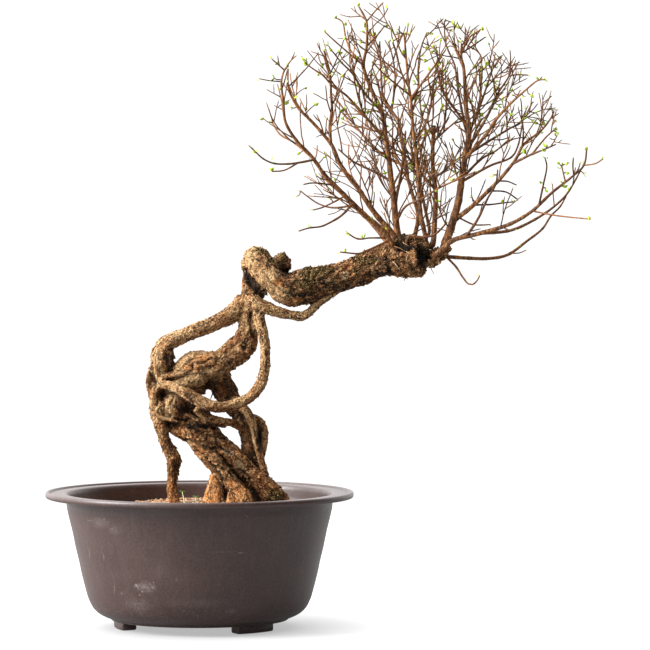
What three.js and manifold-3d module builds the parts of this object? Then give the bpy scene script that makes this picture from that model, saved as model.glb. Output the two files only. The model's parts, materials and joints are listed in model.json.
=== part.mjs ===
// Chinese elm bonsai: a bent tree on exposed roots, with its leafy shoots, in a round pot.
// Millimetres, +Z up. Everything is built round the pot's axis, and the whole is then moved so
// that the middle of its footprint stands on the origin.
import * as THREE from "three";
import { mergeVertices } from "three/addons/utils/BufferGeometryUtils.js";
import Module from "manifold-3d";

// Driving dimensions of the pot
const POT_HEIGHT = 136;
const LIP_RADIUS = 154.5;
const LIP_THICKNESS = 5.5;
const BEAD_WIDTH = 5;
const MOUTH_RADIUS = 131.5;
const SHOULDER_RADIUS = 133.5;
const WAIST_RADIUS = 116;
const WAIST_HEIGHT = 46;
const HIP_RADIUS = 110;
const HIP_HEIGHT = 25;
const BASE_RADIUS = 87;
const WALL = 2.8;
const FOOT_HEIGHT = 8;
const FOOT_INNER = 70;
const FOOT_OUTER = 86;
const FOOT_HALF_ANGLE = 19;
const FOOT_AZIMUTHS = [-47, -167, 73];
const DRAIN_RADIUS = 6;
const DRAIN_CIRCLE = 42;
const DRAIN_COUNT = 4;
const ROUND_SEGMENTS = 40;

// Driving dimensions of the soil
const SOIL_LEVEL = 118.5;
const SOIL_MOUND = 7;
const MOUND_CENTRE = [22, 0];
const MOUND_SPREAD = 62;
const SOIL_GRAIN = 0.7;
const SOIL_RINGS = [112, 94, 76, 58, 40, 22];

// Clearance between pieces that grow or rest in one another
const CLEARANCE = 0.6;
const CAP_GROWTH = 2.7;
const WALL_GAP = 0.9;
// Detail finer than this is left out of the joined solids
const WOOD_DETAIL = 0.35;
const SHOOT_DETAIL = 0.2;
const SOIL_DETAIL = 0.16;
const POT_DETAIL = 0.04;
// A limb's cross-section: how deeply it is lobed, the step between its rings, and the height of
// its blunt end as a share of its radius
const WOOD_LOBES = 0.075;
const STEM_LOBES = 0.03;
const RING_STEP = 14;
const CAP_HEIGHT = 0.4;
// How far a shoot's foot is sunk into the wood that it springs from
const SHOOT_SINK = 7;

// The wood's points are given as seen from the front, on lines of sight from this eye point. A
// point set back from the plane of the pot's axis slides along its line of sight.
const EYE_DISTANCE = 4500;
const EYE_HEIGHT = 474;
const EYE_SIDE = 125;

// The lower tree as limbs. Each point is [across, depth, height, radius]; depth grows to the back.
const TRUNK = [
  [-3.5, 0, 261.5, 12.8], [13.5, 0, 263, 13.4], [24, 0, 267, 12.2], [34.5, 0, 275, 13],
  [45, 0, 285, 12.4], [48, 0, 296.5, 10.2], [47, 1, 309.5, 7.9], [46.5, 3, 322.5, 7],
  [48.5, 6, 335.5, 7], [49.5, 9, 349.5, 8], [51, 4, 361, 10.4], [55, -3, 368, 13.6],
  [65, -8, 359.5, 14.8], [76, -8, 344.5, 15.2], [88.5, -5, 338, 17.6], [100.5, 0, 339, 20],
  [112.5, 2, 343, 17.8], [121.5, 1, 345.5, 16.2], [136.5, 0, 349.5, 14.5], [152, 0, 354, 14],
  [167.5, 0, 360.5, 14], [183.5, 0, 366, 14.8], [196.5, 0, 369.5, 18], [208.5, 0, 371.5, 21],
  [219, 0, 371.5, 21], [226.5, 0, 370.5, 17],
];
const LIMBS = {
  stub: [[68, 0, 350, 10], [75, 6, 358, 11], [82.5, 12, 364.5, 11.4], [85, 15, 366, 9]],
  spur: [[218, 0, 368, 10], [231, -2, 369, 8], [241, -3, 374, 6.5], [247, -3, 381, 5]],
  knot: [[203, 2, 378, 10], [206, 4, 389, 7]],
  ridge: [[94, 2, 349, 6.5], [104, 3, 355, 7], [114, 2, 356, 6], [123, 1, 353, 3.5]],
  recess: [[50, 9, 350, 7.5], [57, 6, 339, 8], [60, 1, 330, 7]],
  heel: [[13, 0, 264, 10.5], [0, 0, 266.5, 10.5], [-10, 0, 265, 9.7], [-18, -1, 259.5, 8.1],
    [-23, -1, 252, 5.5]],
  heelStrand: [[1.5, -2, 252, 9], [-6, -3, 249, 9], [-14, -4, 247, 8.4], [-24, -2, 244, 7]],
  elbow: [[33, 0, 276, 9], [44, -5, 277.5, 8.4], [52, -7, 275, 4.6]],
  inner: [[-16, 8, 247, 8], [0, 10, 246.5, 9], [13, 13, 246, 9]],
  innerLow: [[-24, 8, 226, 9], [-8, 10, 217, 8.5], [8, 12, 209, 7]],
};
const ROOTS = {
  left: [
    [44, 3, 330.5, 6.4], [40, 2, 322, 7.4], [33.5, 1, 314.5, 8.8], [19.5, 0, 306.5, 8.4],
    [-2, 0, 297.5, 8], [-19, 0, 290.5, 7.9], [-34.5, 0, 281.5, 9], [-39, 0, 270.5, 9.9],
    [-40, 0, 259.5, 9.4], [-42, 2, 249.5, 8.4], [-39.5, 6, 237.5, 8.8], [-33.5, 8, 222.5, 9.8],
    [-22, 6, 206, 10.4],
  ],
  leftBulge: [[-35, -2, 279, 6], [-30.5, -3, 272, 6], [-32, -2, 263, 5]],
  leftStrand: [[-41, -2, 263, 5], [-49, -3, 255, 3.6], [-50.5, -3, 243, 3.2], [-47, -2, 231, 3.8]],
  under: [
    [50, -6, 331, 6.4], [55, -10, 326.5, 6.9], [65.5, -11, 320.5, 6.6], [78.5, -10, 315.5, 5.7],
    [94, -8, 312, 5], [105, -6, 312, 5], [111, -4, 316.5, 4.7], [118.5, -3, 324.5, 4.8],
    [128.5, -2, 332, 5], [143, 0, 342, 5],
  ],
  loop: [
    [50, -4, 332, 7.2], [57.5, -7, 318.5, 7], [60.5, -9, 307, 6], [64, -10, 293, 5.4],
    [65.5, -10, 280.5, 5.1], [65.5, -10, 267.5, 5], [64.5, -11, 255, 5.1], [61.5, -11, 244, 5.2],
    [55, -12, 234.5, 5.3], [43.5, -14, 226, 5.5], [31, -15, 222, 5.7], [19, -16, 220.5, 6],
    [4.5, -17, 224.5, 6.7], [-8.5, -17, 231.5, 6.7], [-21, -16, 238.5, 5.8],
    [-31, -14, 243, 5.1], [-38.5, -12, 243.5, 4.4], [-44, -10, 239, 4.2], [-46.5, -8, 231, 3.8],
    [-46.5, -7, 221.5, 3.9], [-44.5, -6, 212.5, 4.8], [-38.8, -5, 202.5, 6.6],
    [-36.3, -4, 191.5, 5.6], [-31.8, -4, 179.5, 5.8], [-26, -4, 167.5, 7.6], [-26.5, -4, 158, 6.2],
    [-27.5, -4, 149, 5.6], [-28, -5, 140, 5.7], [-26.5, -6, 131, 5.9], [-24, -7, 121.5, 6.2],
    [-21.5, -8, 108, 5],
  ],
  thinUpper: [
    [-9.5, -6, 259, 6], [-18, -9, 253.5, 4], [-27.5, -10, 251.5, 3.4], [-36.5, -9, 249, 3.3],
    [-42.5, -9, 245, 3.4], [-46, -8, 236, 3.2],
  ],
  diagonal: [
    [-27, 5, 209, 11], [-16, 3, 201.5, 12.6], [-4.5, 2, 196, 13], [8.5, 2, 189.5, 12.4],
    [21.5, 2, 181.5, 10.9], [35.5, 2, 168.5, 10.8], [49.5, 2, 153, 10.4], [66, 1, 139.5, 11.4],
    [77.5, 1, 128, 10], [84, 0, 117.5, 8.9], [87, 0, 105, 7],
  ],
  front: [
    [-13, -4, 198, 8], [-6, -7, 189.5, 8.7], [3, -9, 177, 9.3], [15, -11, 163.5, 8.8],
    [28.5, -12, 150.5, 8.1], [41.5, -14, 139.5, 8.1], [50, -14, 129.5, 7.3], [54.5, -15, 119.5, 6.5],
    [57, -16, 106, 5],
  ],
  hind: [
    [-24, 10, 217, 9], [-10, 13, 208, 9], [5.5, 14, 199.5, 8.5], [20, 13, 185, 7.8],
    [34, 11, 170, 7.2],
  ],
  back: [
    [10, 6, 261, 10], [19, 13, 249, 11.3], [24, 18, 240, 12], [30, 20, 228, 11.4],
    [41, 18, 214, 10.3], [47.5, 18, 197.5, 9.3], [50.5, 16, 179.5, 9.3], [56.5, 14, 162.5, 8.5],
    [63.5, 14, 142.5, 7.8], [67, 14, 126, 7.2], [70, 15, 107, 6],
  ],
  right: [
    [34, 14, 227, 6], [39, 5, 223, 5.3], [45.5, 2, 217.5, 5], [51, 0, 208.7, 4.7],
    [54.5, 0, 197.5, 4.7], [57, -1, 184, 4.3], [60.5, 0, 173, 4.2], [62.8, 3, 163, 3.9],
    [65.8, 6, 152, 3.7], [69, 7, 139, 3.5], [72, 7, 124, 3.5], [74, 6, 108, 3],
  ],
  rightLoop: [
    [49, 6, 211.5, 3.7], [54, 7, 208.5, 3.6], [58.5, 6, 205.5, 3.6], [62.7, 4, 200, 3.5],
    [64.7, 3, 190.5, 3.4], [64.3, 3, 180.5, 3.3], [62.3, 3, 171, 3.3],
  ],
  collar: [
    [-3.5, -14, 220, 4.6], [3.5, -10, 212.5, 4.3], [12.5, -5, 208, 4.1], [22.5, -1, 206, 3.9],
    [32.5, 5, 204.5, 4.3], [42, 12, 200, 4.7],
  ],
  collarThread: [[-9, -5, 211, 2.6], [3.5, -4, 205.5, 2.3], [14.5, -2, 203, 2.2], [26, 4, 201, 2.4]],
  knob: [[-27, 2, 232, 9], [-27.5, -1, 223, 13], [-26, 0, 212, 10.4]],
  curl: [
    [-36, -10, 224.5, 2.4], [-41.5, -9, 219, 2.1], [-41.5, -8, 213.5, 2.1], [-37, -9, 209.5, 2.1],
    [-27, -9, 206.5, 2.4],
  ],
  stumpLeft: [[18, -6, 161, 6], [13, -9, 146, 7.4], [12.5, -11, 131, 9.6], [13.5, -13, 117, 9.4],
    [13.5, -13, 105, 7]],
  stumpRight: [[33, -10, 141, 5], [30, -16, 130, 7], [28.5, -20, 117, 7.2], [28, -20, 105, 5.5]],
  stumpBack: [[26, -2, 147, 5], [26.5, 3, 134, 5], [27.5, 4, 119, 5], [28, 4, 105, 4]],
};

// The shoots. A path is [across, height] points seen from the front; depth is where it starts and
// ends, front to back; radius is the same way. A branch springs from the wood nearest its start.
const SHOOTS = [
  {
    name: "shoot_left_front", depth: [-11, -80], radius: [2.7, 0.9],
    path: [[193, 383], [184.5, 396], [167, 411], [153.5, 424], [137.5, 440], [124.5, 453.5],
      [112.5, 470.5], [96.5, 487.5], [86, 505.5], [84, 525], [82, 545.5], [85, 557], [89, 561.5]],
    branches: [
      { depth: -84, radius: [0.9, 0.7], path: [[85, 557], [72.5, 568]] },
      { depth: -22, radius: [1.1, 0.7], path: [[188, 388], [170, 389.5], [158, 388.5], [148, 394.5]] },
      { depth: -30, radius: [1.2, 0.7],
        path: [[189, 386], [168.5, 377.5], [159.5, 374], [149.5, 374.5], [140.5, 375.5]] },
      { depth: -62, radius: [1.3, 0.7],
        path: [[153.5, 424], [142, 412], [131.5, 405.5], [121.5, 401], [109.5, 399.5], [99.5, 396.5]] },
      { depth: -52, radius: [1.1, 0.7],
        path: [[134, 443], [124.5, 443.5], [112.5, 444.5], [104, 443]] },
      { depth: -74, radius: [1.3, 0.7],
        path: [[114, 468], [101, 465], [89, 463.5], [74.5, 464], [64, 468.5], [54, 477.5]] },
      { depth: -60, radius: [0.9, 0.7], path: [[99, 464], [84.5, 457], [72.5, 456]] },
    ],
  },
  {
    name: "shoot_left_back", depth: [12, 66], radius: [2.4, 0.8],
    path: [[189, 383], [171.5, 405], [159.5, 416.5], [142, 434], [126, 449], [118.5, 463.5],
      [109.5, 472.5], [93.5, 485.5], [80.5, 493], [73, 504.5]],
    branches: [
      { depth: 52, radius: [1.2, 0.7],
        path: [[153, 423], [140.5, 420], [130.5, 420], [118.5, 424], [108, 431], [101, 436.5]] },
      { depth: 24, radius: [1, 0.7], path: [[146, 430], [131.5, 424], [121.5, 419.5], [113.5, 417.5]] },
    ],
  },
  {
    name: "shoot_left_middle", depth: [-3, -30], radius: [3, 0.9],
    path: [[195, 391], [177, 412], [165.5, 428.5], [158, 440], [148, 452], [139, 466.5], [133, 481],
      [121.5, 495.5], [112.5, 505.5], [98, 520.5], [89, 539.5], [88.5, 558.5]],
    branches: [
      { depth: -46, radius: [1.8, 0.8],
        path: [[131.5, 483], [130.5, 503], [132.5, 517.5], [131.5, 533.5], [130.5, 554], [124.5, 576]] },
    ],
  },
  {
    name: "shoot_tall", depth: [7, 14], radius: [3.5, 0.9],
    path: [[199, 388], [196.5, 405], [195, 419.5], [193.5, 434], [191, 452], [189, 471], [186, 490.5],
      [183, 513], [174.5, 532], [168.5, 545.5], [164, 561.5], [167, 580.5], [167.5, 598],
      [167, 605.5], [159.5, 620]],
    branches: [
      { depth: 20, radius: [0.8, 0.7], path: [[167, 605.5], [174, 614], [183, 624]] },
      { depth: 16, radius: [1.5, 0.8], path: [[191, 446], [177, 454.5], [153.5, 466], [139, 478]] },
      { depth: -12, radius: [1.7, 0.7],
        path: [[186, 491], [177, 498.5], [168.5, 507.5], [158, 519], [146.5, 532], [133, 541],
          [124.5, 551], [115.5, 557], [107, 563]] },
      { depth: -22, radius: [1.4, 0.7],
        path: [[181, 517], [165.5, 533.5], [152.5, 554], [142, 564.5], [131.5, 577.5]] },
      { depth: -2, radius: [1.1, 0.7], path: [[164, 563], [145, 577.5], [133, 588], [126, 594.5]] },
      { depth: 26, radius: [1.1, 0.7],
        path: [[165, 565], [152.5, 574.5], [146.5, 588], [142.5, 605.5], [136, 609]] },
      { depth: 24, radius: [0.9, 0.7], path: [[167, 581], [177, 591], [184.5, 600.5]] },
      { depth: 14, radius: [1.7, 1], path: [[194.5, 419], [198, 436], [202, 456], [204, 476], [206, 496]] },
      { depth: 2, radius: [1.2, 0.7],
        path: [[174, 501], [166, 511], [160, 525], [156.5, 539], [152.5, 561]] },
      { depth: -86, radius: [1.2, 0.8],
        path: [[196.5, 405], [206, 421], [221.5, 428.5], [240.5, 440], [259.5, 448.5], [275, 455.5]] },
    ],
  },
  {
    name: "shoot_tall_back", depth: [10, 66], radius: [2.2, 0.9],
    path: [[215, 390], [218.5, 412], [212.5, 434], [206.5, 456], [205, 471], [200.5, 492],
      [199, 505.5], [190.5, 519], [183, 533.5], [181.5, 554], [180, 583.5]],
    branches: [
      { depth: 78, radius: [1.6, 0.7],
        path: [[205.5, 462], [184.5, 472], [171.5, 483.5], [159.5, 497], [148, 513], [133, 533.5]] },
      { depth: 44, radius: [1.2, 0.7], path: [[192, 517], [195.5, 545.5], [194, 564.5], [189, 585]] },
    ],
  },
  {
    name: "shoot_middle_front", depth: [-7, -42], radius: [2.5, 0.9],
    path: [[226, 387], [221, 413.5], [219.5, 434], [218.5, 456], [216, 478], [213, 503], [211.5, 525],
      [208.5, 545.5], [206.5, 569], [204.5, 592.5]],
    branches: [
      { depth: -58, radius: [1.3, 0.7],
        path: [[211, 530], [225.5, 548.5], [236, 563], [246, 577.5]] },
      { depth: -26, radius: [1.1, 0.7],
        path: [[211, 524], [218.5, 540], [218.5, 558], [221.5, 580], [226.5, 593]] },
      { depth: -62, radius: [1.2, 0.7],
        path: [[208.5, 531], [194, 545], [183, 554.5], [172.5, 565.5]] },
      { depth: -36, radius: [1, 0.7], path: [[208.5, 538], [201.5, 555], [196, 575], [193, 584.5]] },
      { depth: -14, radius: [1.2, 0.7], path: [[214.5, 488], [225.5, 503], [231.5, 525], [228.5, 548.5]] },
    ],
  },
  {
    name: "shoot_middle_cut", depth: [5, 18], radius: [2.9, 1.8],
    path: [[233, 383], [235, 405], [236, 434], [233.5, 456], [233, 478], [234.5, 501.5]],
    branches: [
      { depth: 40, radius: [1.2, 0.7], path: [[233.5, 484], [246.5, 497.5], [258.5, 508]] },
      { depth: 46, radius: [1, 0.7],
        path: [[238, 488.5], [244.5, 504], [246.5, 527], [245.5, 554]] },
      { depth: -20, radius: [1.3, 0.8],
        path: [[234, 437], [229, 445.5], [219, 457], [206, 472], [192, 480], [184, 489]] },
      { depth: 26, radius: [1, 0.7], path: [[234, 447], [244.5, 457], [252.5, 465], [260, 479]] },
      { depth: -4, radius: [1.1, 0.7], path: [[233, 490], [228, 508], [232, 527], [236.5, 540]] },
    ],
  },
  {
    name: "shoot_right", depth: [-3, -12], radius: [4.4, 1.2],
    path: [[246, 385], [249, 393], [255, 412], [259, 427], [262, 449], [265.5, 471.5],
      [269.5, 495.5], [266.5, 517.5], [265, 545.5], [263.5, 561.5], [261.5, 569], [262, 583.5]],
    branches: [
      { depth: 22, radius: [1.5, 0.7],
        path: [[268, 489], [260.5, 525], [257, 547], [255, 561.5], [246, 583.5], [244.5, 605.5]] },
      { depth: -26, radius: [1, 0.7], path: [[262, 573], [269.5, 589.5], [281, 597.5]] },
      { depth: 4, radius: [0.9, 0.7], path: [[262, 575], [274, 582], [285.5, 590]] },
      { depth: -56, radius: [2, 0.7],
        path: [[265, 469], [288.5, 495.5], [294.5, 505.5], [309, 522], [325, 536.5], [338.5, 547],
          [345.5, 547.5]] },
      { depth: 6, radius: [1.4, 0.7],
        path: [[269.5, 494], [277, 513], [284, 532], [288.5, 545.5], [293, 558.5], [300, 569]] },
      { depth: 38, radius: [1.4, 0.7],
        path: [[268.5, 490], [279.5, 525], [281, 548.5], [280.5, 572], [274, 578.5]] },
      { depth: -34, radius: [1.7, 0.7],
        path: [[266.5, 475], [288.5, 513], [296, 530.5], [309, 551], [313.5, 563]] },
      { depth: -40, radius: [0.8, 0.7], path: [[309, 550], [318, 552.5], [328, 552]] },
      { depth: 50, radius: [1.6, 0.7],
        path: [[265, 470], [294.5, 489.5], [312, 500], [321, 504.5], [328, 516], [332.5, 525]] },
      { depth: -24, radius: [2.5, 0.8],
        path: [[253.5, 405], [274, 422.5], [288.5, 436.5], [303, 451.5], [316.5, 469], [323.5, 482.5],
          [341.5, 497], [351.5, 510], [354, 516]] },
      { depth: -34, radius: [1, 0.7], path: [[322, 480], [323.5, 494], [322.5, 507.5]] },
      { depth: 26, radius: [1.5, 0.7], path: [[262.5, 449], [282.5, 469], [296, 476.5], [309, 488]] },
      { depth: 0, radius: [1.5, 0.7],
        path: [[262, 447], [290, 461.5], [312, 470.5], [318, 481], [322.5, 503]] },
      { depth: -50, radius: [1.5, 0.7],
        path: [[313, 464], [329.5, 472], [344.5, 478], [356, 483]] },
      { depth: -30, radius: [1, 0.7], path: [[331, 472.5], [347, 491], [354.5, 497.5]] },
      { depth: 24, radius: [1.1, 0.7], path: [[255, 412], [274, 403], [282.5, 402.5], [290.5, 403]] },
      { depth: 18, radius: [1.1, 0.7],
        path: [[274, 422], [291.5, 423], [303, 424.5], [313.5, 425.5]] },
      { depth: 10, radius: [1, 0.7], path: [[288, 437], [306, 435.5], [318, 428]] },
      { depth: 12, radius: [0.9, 0.7], path: [[299, 448], [308, 446], [316.5, 442.5]] },
      { depth: -8, radius: [1.5, 0.8],
        path: [[268, 498], [258, 514], [246.5, 531], [241, 542.5], [237, 565]] },
      { depth: -26, radius: [0.9, 0.7], path: [[251, 398], [246, 404], [241, 415], [237.5, 426]] },
    ],
  },
  {
    name: "shoot_right_low", depth: [-12, -50], radius: [2.7, 0.8],
    path: [[236, 373], [244, 379.5], [253, 387], [279.5, 394], [310.5, 403.5], [332.5, 416.5],
      [353, 435.5], [372, 450.5], [384, 462], [387, 479.5]],
    branches: [
      { depth: -64, radius: [0.8, 0.7], path: [[384, 462], [396, 464], [403, 468.5]] },
      { depth: -4, radius: [1.9, 0.7],
        path: [[279, 394], [310.5, 397], [332.5, 406.5], [354.5, 421], [367.5, 434], [376.5, 449],
          [384, 463.5]] },
      { depth: -84, radius: [1, 0.7], path: [[331, 415.5], [356, 412], [388.5, 408.5]] },
      { depth: -62, radius: [1.5, 0.7],
        path: [[266, 389.5], [278, 408], [288.5, 430], [296, 443], [298, 457.5]] },
      { depth: -60, radius: [1.1, 0.7], path: [[338, 421], [343.5, 442.5], [347, 461.5], [345, 470]] },
      { depth: -40, radius: [0.9, 0.7], path: [[366, 446], [363.5, 454], [362, 461.5]] },
      { depth: -58, radius: [0.9, 0.7], path: [[373, 452], [373, 461], [373.5, 469]] },
    ],
  },
  {
    name: "shoot_right_under", depth: [2, 62], radius: [2.1, 0.8],
    path: [[243, 371], [266.5, 369.5], [288.5, 369], [307.5, 372.5], [328, 387], [343, 399],
      [351.5, 412], [360.5, 421], [367.5, 434]],
    branches: [
      { depth: -16, radius: [1.3, 0.7],
        path: [[248, 371], [257, 360], [263, 350.5], [269, 343.5], [273, 343], [278, 347.5],
          [280, 351.5]] },
    ],
  },
  {
    name: "shoot_slanting", depth: [14, 34], radius: [1.9, 0.9],
    path: [[222, 386], [229.5, 394], [227.5, 409.5], [225, 421], [220.5, 444], [214.5, 458], [212, 480]],
    branches: [],
  },
  {
    name: "shoot_crossing", depth: [-15, -24], radius: [1.5, 0.9],
    path: [[207, 386], [210, 392], [216, 391], [225, 390.5], [234, 392.5], [241, 398], [247, 405]],
    branches: [],
  },
];

// Side growth on the shoots, placed by a seeded rule
const GROWTH_SEED = 41;
const GROWTH_START = 26;
const GROWTH_STEP = 15;
const TWIG_CHANCE = 0.13;
const LEAF_CHANCE = 0.5;
const TWIG_LENGTH = [11, 24];
const TWIG_RADIUS = 0.75;
const LEAF_LENGTH = [4.2, 7];
const LEAF_THICKNESS = 1.1;
const LEAF_TILT = 0.7;
const GROWTH_CLEARANCE = 3;

// Weed seedlings: foot [across, depth], height, lean
const SEEDLINGS = [
  { name: "seedling_tall", foot: [-14.5, -22], height: 14, lean: [-2.2, 0.6], leaf: 5.2 },
  { name: "seedling_short", foot: [-2.8, -16], height: 7.5, lean: [-0.6, -0.8], leaf: 4.4 },
];
const SEEDLING_RADIUS = 0.7;
const SEEDLING_ROOT = 6;

// Colours
const POT_COLOUR = 0x554746;
const SOIL_COLOUR = 0x8a6f57;
const WOOD_COLOUR = 0x86694a;
const SHOOT_COLOUR = 0x6b4532;
const SEEDLING_COLOUR = 0x9fb35a;

const wasm = await Module();
wasm.setup();

// Solids: from shared-vertex meshes to manifold solids and back
function solidFromArrays(positions, triangles) {
  return new wasm.Manifold(new wasm.Mesh({
    numProp: 3,
    vertProperties: new Float32Array(positions),
    triVerts: new Uint32Array(triangles),
  }));
}

function solidFromGeometry(geometry) {
  const bare = geometry.clone();
  bare.deleteAttribute("normal");
  bare.deleteAttribute("uv");
  const merged = mergeVertices(bare, 1e-3);
  return solidFromArrays(merged.attributes.position.array, merged.index.array);
}

function geometryFromSolid(solid) {
  const mesh = solid.getMesh();
  const geometry = new THREE.BufferGeometry();
  geometry.setAttribute("position", new THREE.BufferAttribute(new Float32Array(mesh.vertProperties), 3));
  geometry.setIndex(new THREE.BufferAttribute(new Uint32Array(mesh.triVerts), 1));
  geometry.computeVertexNormals();
  return geometry;
}

function joined(solids) {
  return solids.reduce((whole, solid) => whole.add(solid));
}

// The one body that matters, without the loose scraps that a join or cut can leave
function mainBody(solid) {
  return solid.decompose().sort((a, b) => b.volume() - a.volume())[0];
}

// The same solid with fewer triangles, true to within the given detail
function pruned(solid, detail) {
  return mainBody(solid.asOriginal().simplify(detail));
}

function namedMesh(name, solid, colour, roughness) {
  const material = new THREE.MeshStandardMaterial({ color: colour, roughness, metalness: 0 });
  const mesh = new THREE.Mesh(geometryFromSolid(solid), material);
  mesh.name = name;
  return mesh;
}

// A point on a line of sight from the eye, at the given depth
function sighted(across, height, depth) {
  const reach = (EYE_DISTANCE + depth) / EYE_DISTANCE;
  return new THREE.Vector3(
    EYE_SIDE + (across - EYE_SIDE) * reach,
    depth,
    EYE_HEIGHT + (height - EYE_HEIGHT) * reach,
  );
}

// Rings of a limb: a smooth line through its points, with a radius at each ring
function limbRings(points, radii, step) {
  const curve = new THREE.CatmullRomCurve3(points, false, "centripetal");
  const last = points.length - 1;
  const rings = [];
  for (let i = 0; i < last; i++) {
    const parts = Math.max(1, Math.round(points[i].distanceTo(points[i + 1]) / step));
    for (let j = 0; j < parts; j++) {
      const blend = j / parts;
      rings.push({
        centre: curve.getPoint((i + blend) / last),
        radius: radii[i] + (radii[i + 1] - radii[i]) * blend,
      });
    }
  }
  rings.push({ centre: points[last].clone(), radius: radii[last] });
  return rings;
}

// A closed limb through its rings. Each cross-section is lobed by a wave that drifts along it.
function limbSolid(rings, sides, lobes, phase, grow) {
  const positions = [];
  const triangles = [];
  const count = rings.length;
  const tangents = rings.map((ring, i) => {
    const ahead = rings[Math.min(i + 1, count - 1)].centre;
    const behind = rings[Math.max(i - 1, 0)].centre;
    return ahead.clone().sub(behind).normalize();
  });
  const side = new THREE.Vector3(0.31, 0.87, 0.38).cross(tangents[0]).normalize();
  let travelled = 0;
  rings.forEach((ring, i) => {
    if (i > 0) {
      const turn = new THREE.Quaternion().setFromUnitVectors(tangents[i - 1], tangents[i]);
      side.applyQuaternion(turn).normalize();
      travelled += ring.centre.distanceTo(rings[i - 1].centre);
    }
    const other = tangents[i].clone().cross(side);
    for (let k = 0; k < sides; k++) {
      const angle = (k / sides) * 2 * Math.PI;
      const wave = Math.sin(2 * angle + phase + travelled * 0.045)
        + 0.6 * Math.sin(3 * angle - 1.7 * phase - travelled * 0.07);
      const radius = ring.radius * (1 + lobes * wave) + grow;
      const point = ring.centre.clone()
        .addScaledVector(side, Math.cos(angle) * radius)
        .addScaledVector(other, Math.sin(angle) * radius);
      positions.push(point.x, point.y, point.z);
    }
  });
  for (let i = 0; i < count - 1; i++) {
    for (let k = 0; k < sides; k++) {
      const a = i * sides + k;
      const b = i * sides + ((k + 1) % sides);
      triangles.push(a, b, b + sides, a, b + sides, a + sides);
    }
  }
  const first = rings[0];
  const final = rings[count - 1];
  const tailReach = first.radius * CAP_HEIGHT + grow * CAP_GROWTH;
  const tipReach = final.radius * CAP_HEIGHT + grow * CAP_GROWTH;
  const tail = first.centre.clone().addScaledVector(tangents[0], -tailReach);
  const tip = final.centre.clone().addScaledVector(tangents[count - 1], tipReach);
  const tailIndex = count * sides;
  positions.push(tail.x, tail.y, tail.z, tip.x, tip.y, tip.z);
  for (let k = 0; k < sides; k++) {
    const next = (k + 1) % sides;
    triangles.push(tailIndex, next, k);
    triangles.push(tailIndex + 1, (count - 1) * sides + k, (count - 1) * sides + next);
  }
  return solidFromArrays(positions, triangles);
}

// Pot: a turned shell with a broad lip, three arc feet and drain holes
const POT_WALL = [
  [BASE_RADIUS, FOOT_HEIGHT], [99, 13], [106.5, 19], [HIP_RADIUS, HIP_HEIGHT],
  [WAIST_RADIUS, WAIST_HEIGHT], [127.8, 98], [SHOULDER_RADIUS, POT_HEIGHT - 12],
];
const FLOOR_CORNER = [BASE_RADIUS + 8, FOOT_HEIGHT + WALL + 2];

// The inside of the wall, from the floor's corner up to below the mouth, set in by a gap
function innerWall(gap) {
  const wall = POT_WALL.slice(3, -1).map(([radius, level]) => [radius - WALL - gap, level + 1]);
  return [[FLOOR_CORNER[0] - gap, FLOOR_CORNER[1] + gap], ...wall];
}

function pot() {
  const lipUnder = POT_HEIGHT - LIP_THICKNESS;
  const floorTop = FOOT_HEIGHT + WALL;
  const profile = [
    [0, FOOT_HEIGHT + 1.5], [BASE_RADIUS - 12, FOOT_HEIGHT + 1.5], [BASE_RADIUS - 10, FOOT_HEIGHT],
    ...POT_WALL,
    [SHOULDER_RADIUS, lipUnder - 1],
    [LIP_RADIUS - 1, lipUnder],
    [LIP_RADIUS, lipUnder + 1.2],
    [LIP_RADIUS, POT_HEIGHT - 1.4],
    [LIP_RADIUS - 1.5, POT_HEIGHT],
    [LIP_RADIUS - BEAD_WIDTH + 1, POT_HEIGHT],
    [LIP_RADIUS - BEAD_WIDTH, POT_HEIGHT - 1.3],
    [MOUTH_RADIUS + 3, POT_HEIGHT - 0.8],
    [MOUTH_RADIUS, POT_HEIGHT - 3.5],
    [MOUTH_RADIUS - 0.8, POT_HEIGHT - 14],
    ...innerWall(0).reverse(),
    [BASE_RADIUS - 2, floorTop],
    [0, floorTop],
  ].map(([radius, level]) => new THREE.Vector2(radius, level));
  const shell = new THREE.LatheGeometry(profile, ROUND_SEGMENTS);
  shell.rotateX(Math.PI / 2);
  let solid = solidFromGeometry(shell);
  FOOT_AZIMUTHS.forEach((azimuth) => {
    solid = solid.add(solidFromGeometry(foot(azimuth)));
  });
  for (let i = 0; i < DRAIN_COUNT; i++) {
    const angle = ((i + 0.5) / DRAIN_COUNT) * 2 * Math.PI;
    const drill = new THREE.CylinderGeometry(DRAIN_RADIUS, DRAIN_RADIUS, 4 * WALL, 16);
    drill.rotateX(Math.PI / 2);
    drill.translate(DRAIN_CIRCLE * Math.cos(angle), DRAIN_CIRCLE * Math.sin(angle), FOOT_HEIGHT + WALL);
    solid = solid.subtract(solidFromGeometry(drill));
  }
  return pruned(solid, POT_DETAIL);
}

function foot(azimuth) {
  const middle = THREE.MathUtils.degToRad(azimuth);
  const half = THREE.MathUtils.degToRad(FOOT_HALF_ANGLE);
  const outline = new THREE.Shape();
  outline.absarc(0, 0, FOOT_OUTER, middle - half, middle + half, false);
  outline.absarc(0, 0, FOOT_INNER, middle + half, middle - half, true);
  outline.closePath();
  return new THREE.ExtrudeGeometry(outline, {
    depth: FOOT_HEIGHT + 1.8,
    bevelEnabled: false,
    curveSegments: 6,
  });
}

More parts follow.
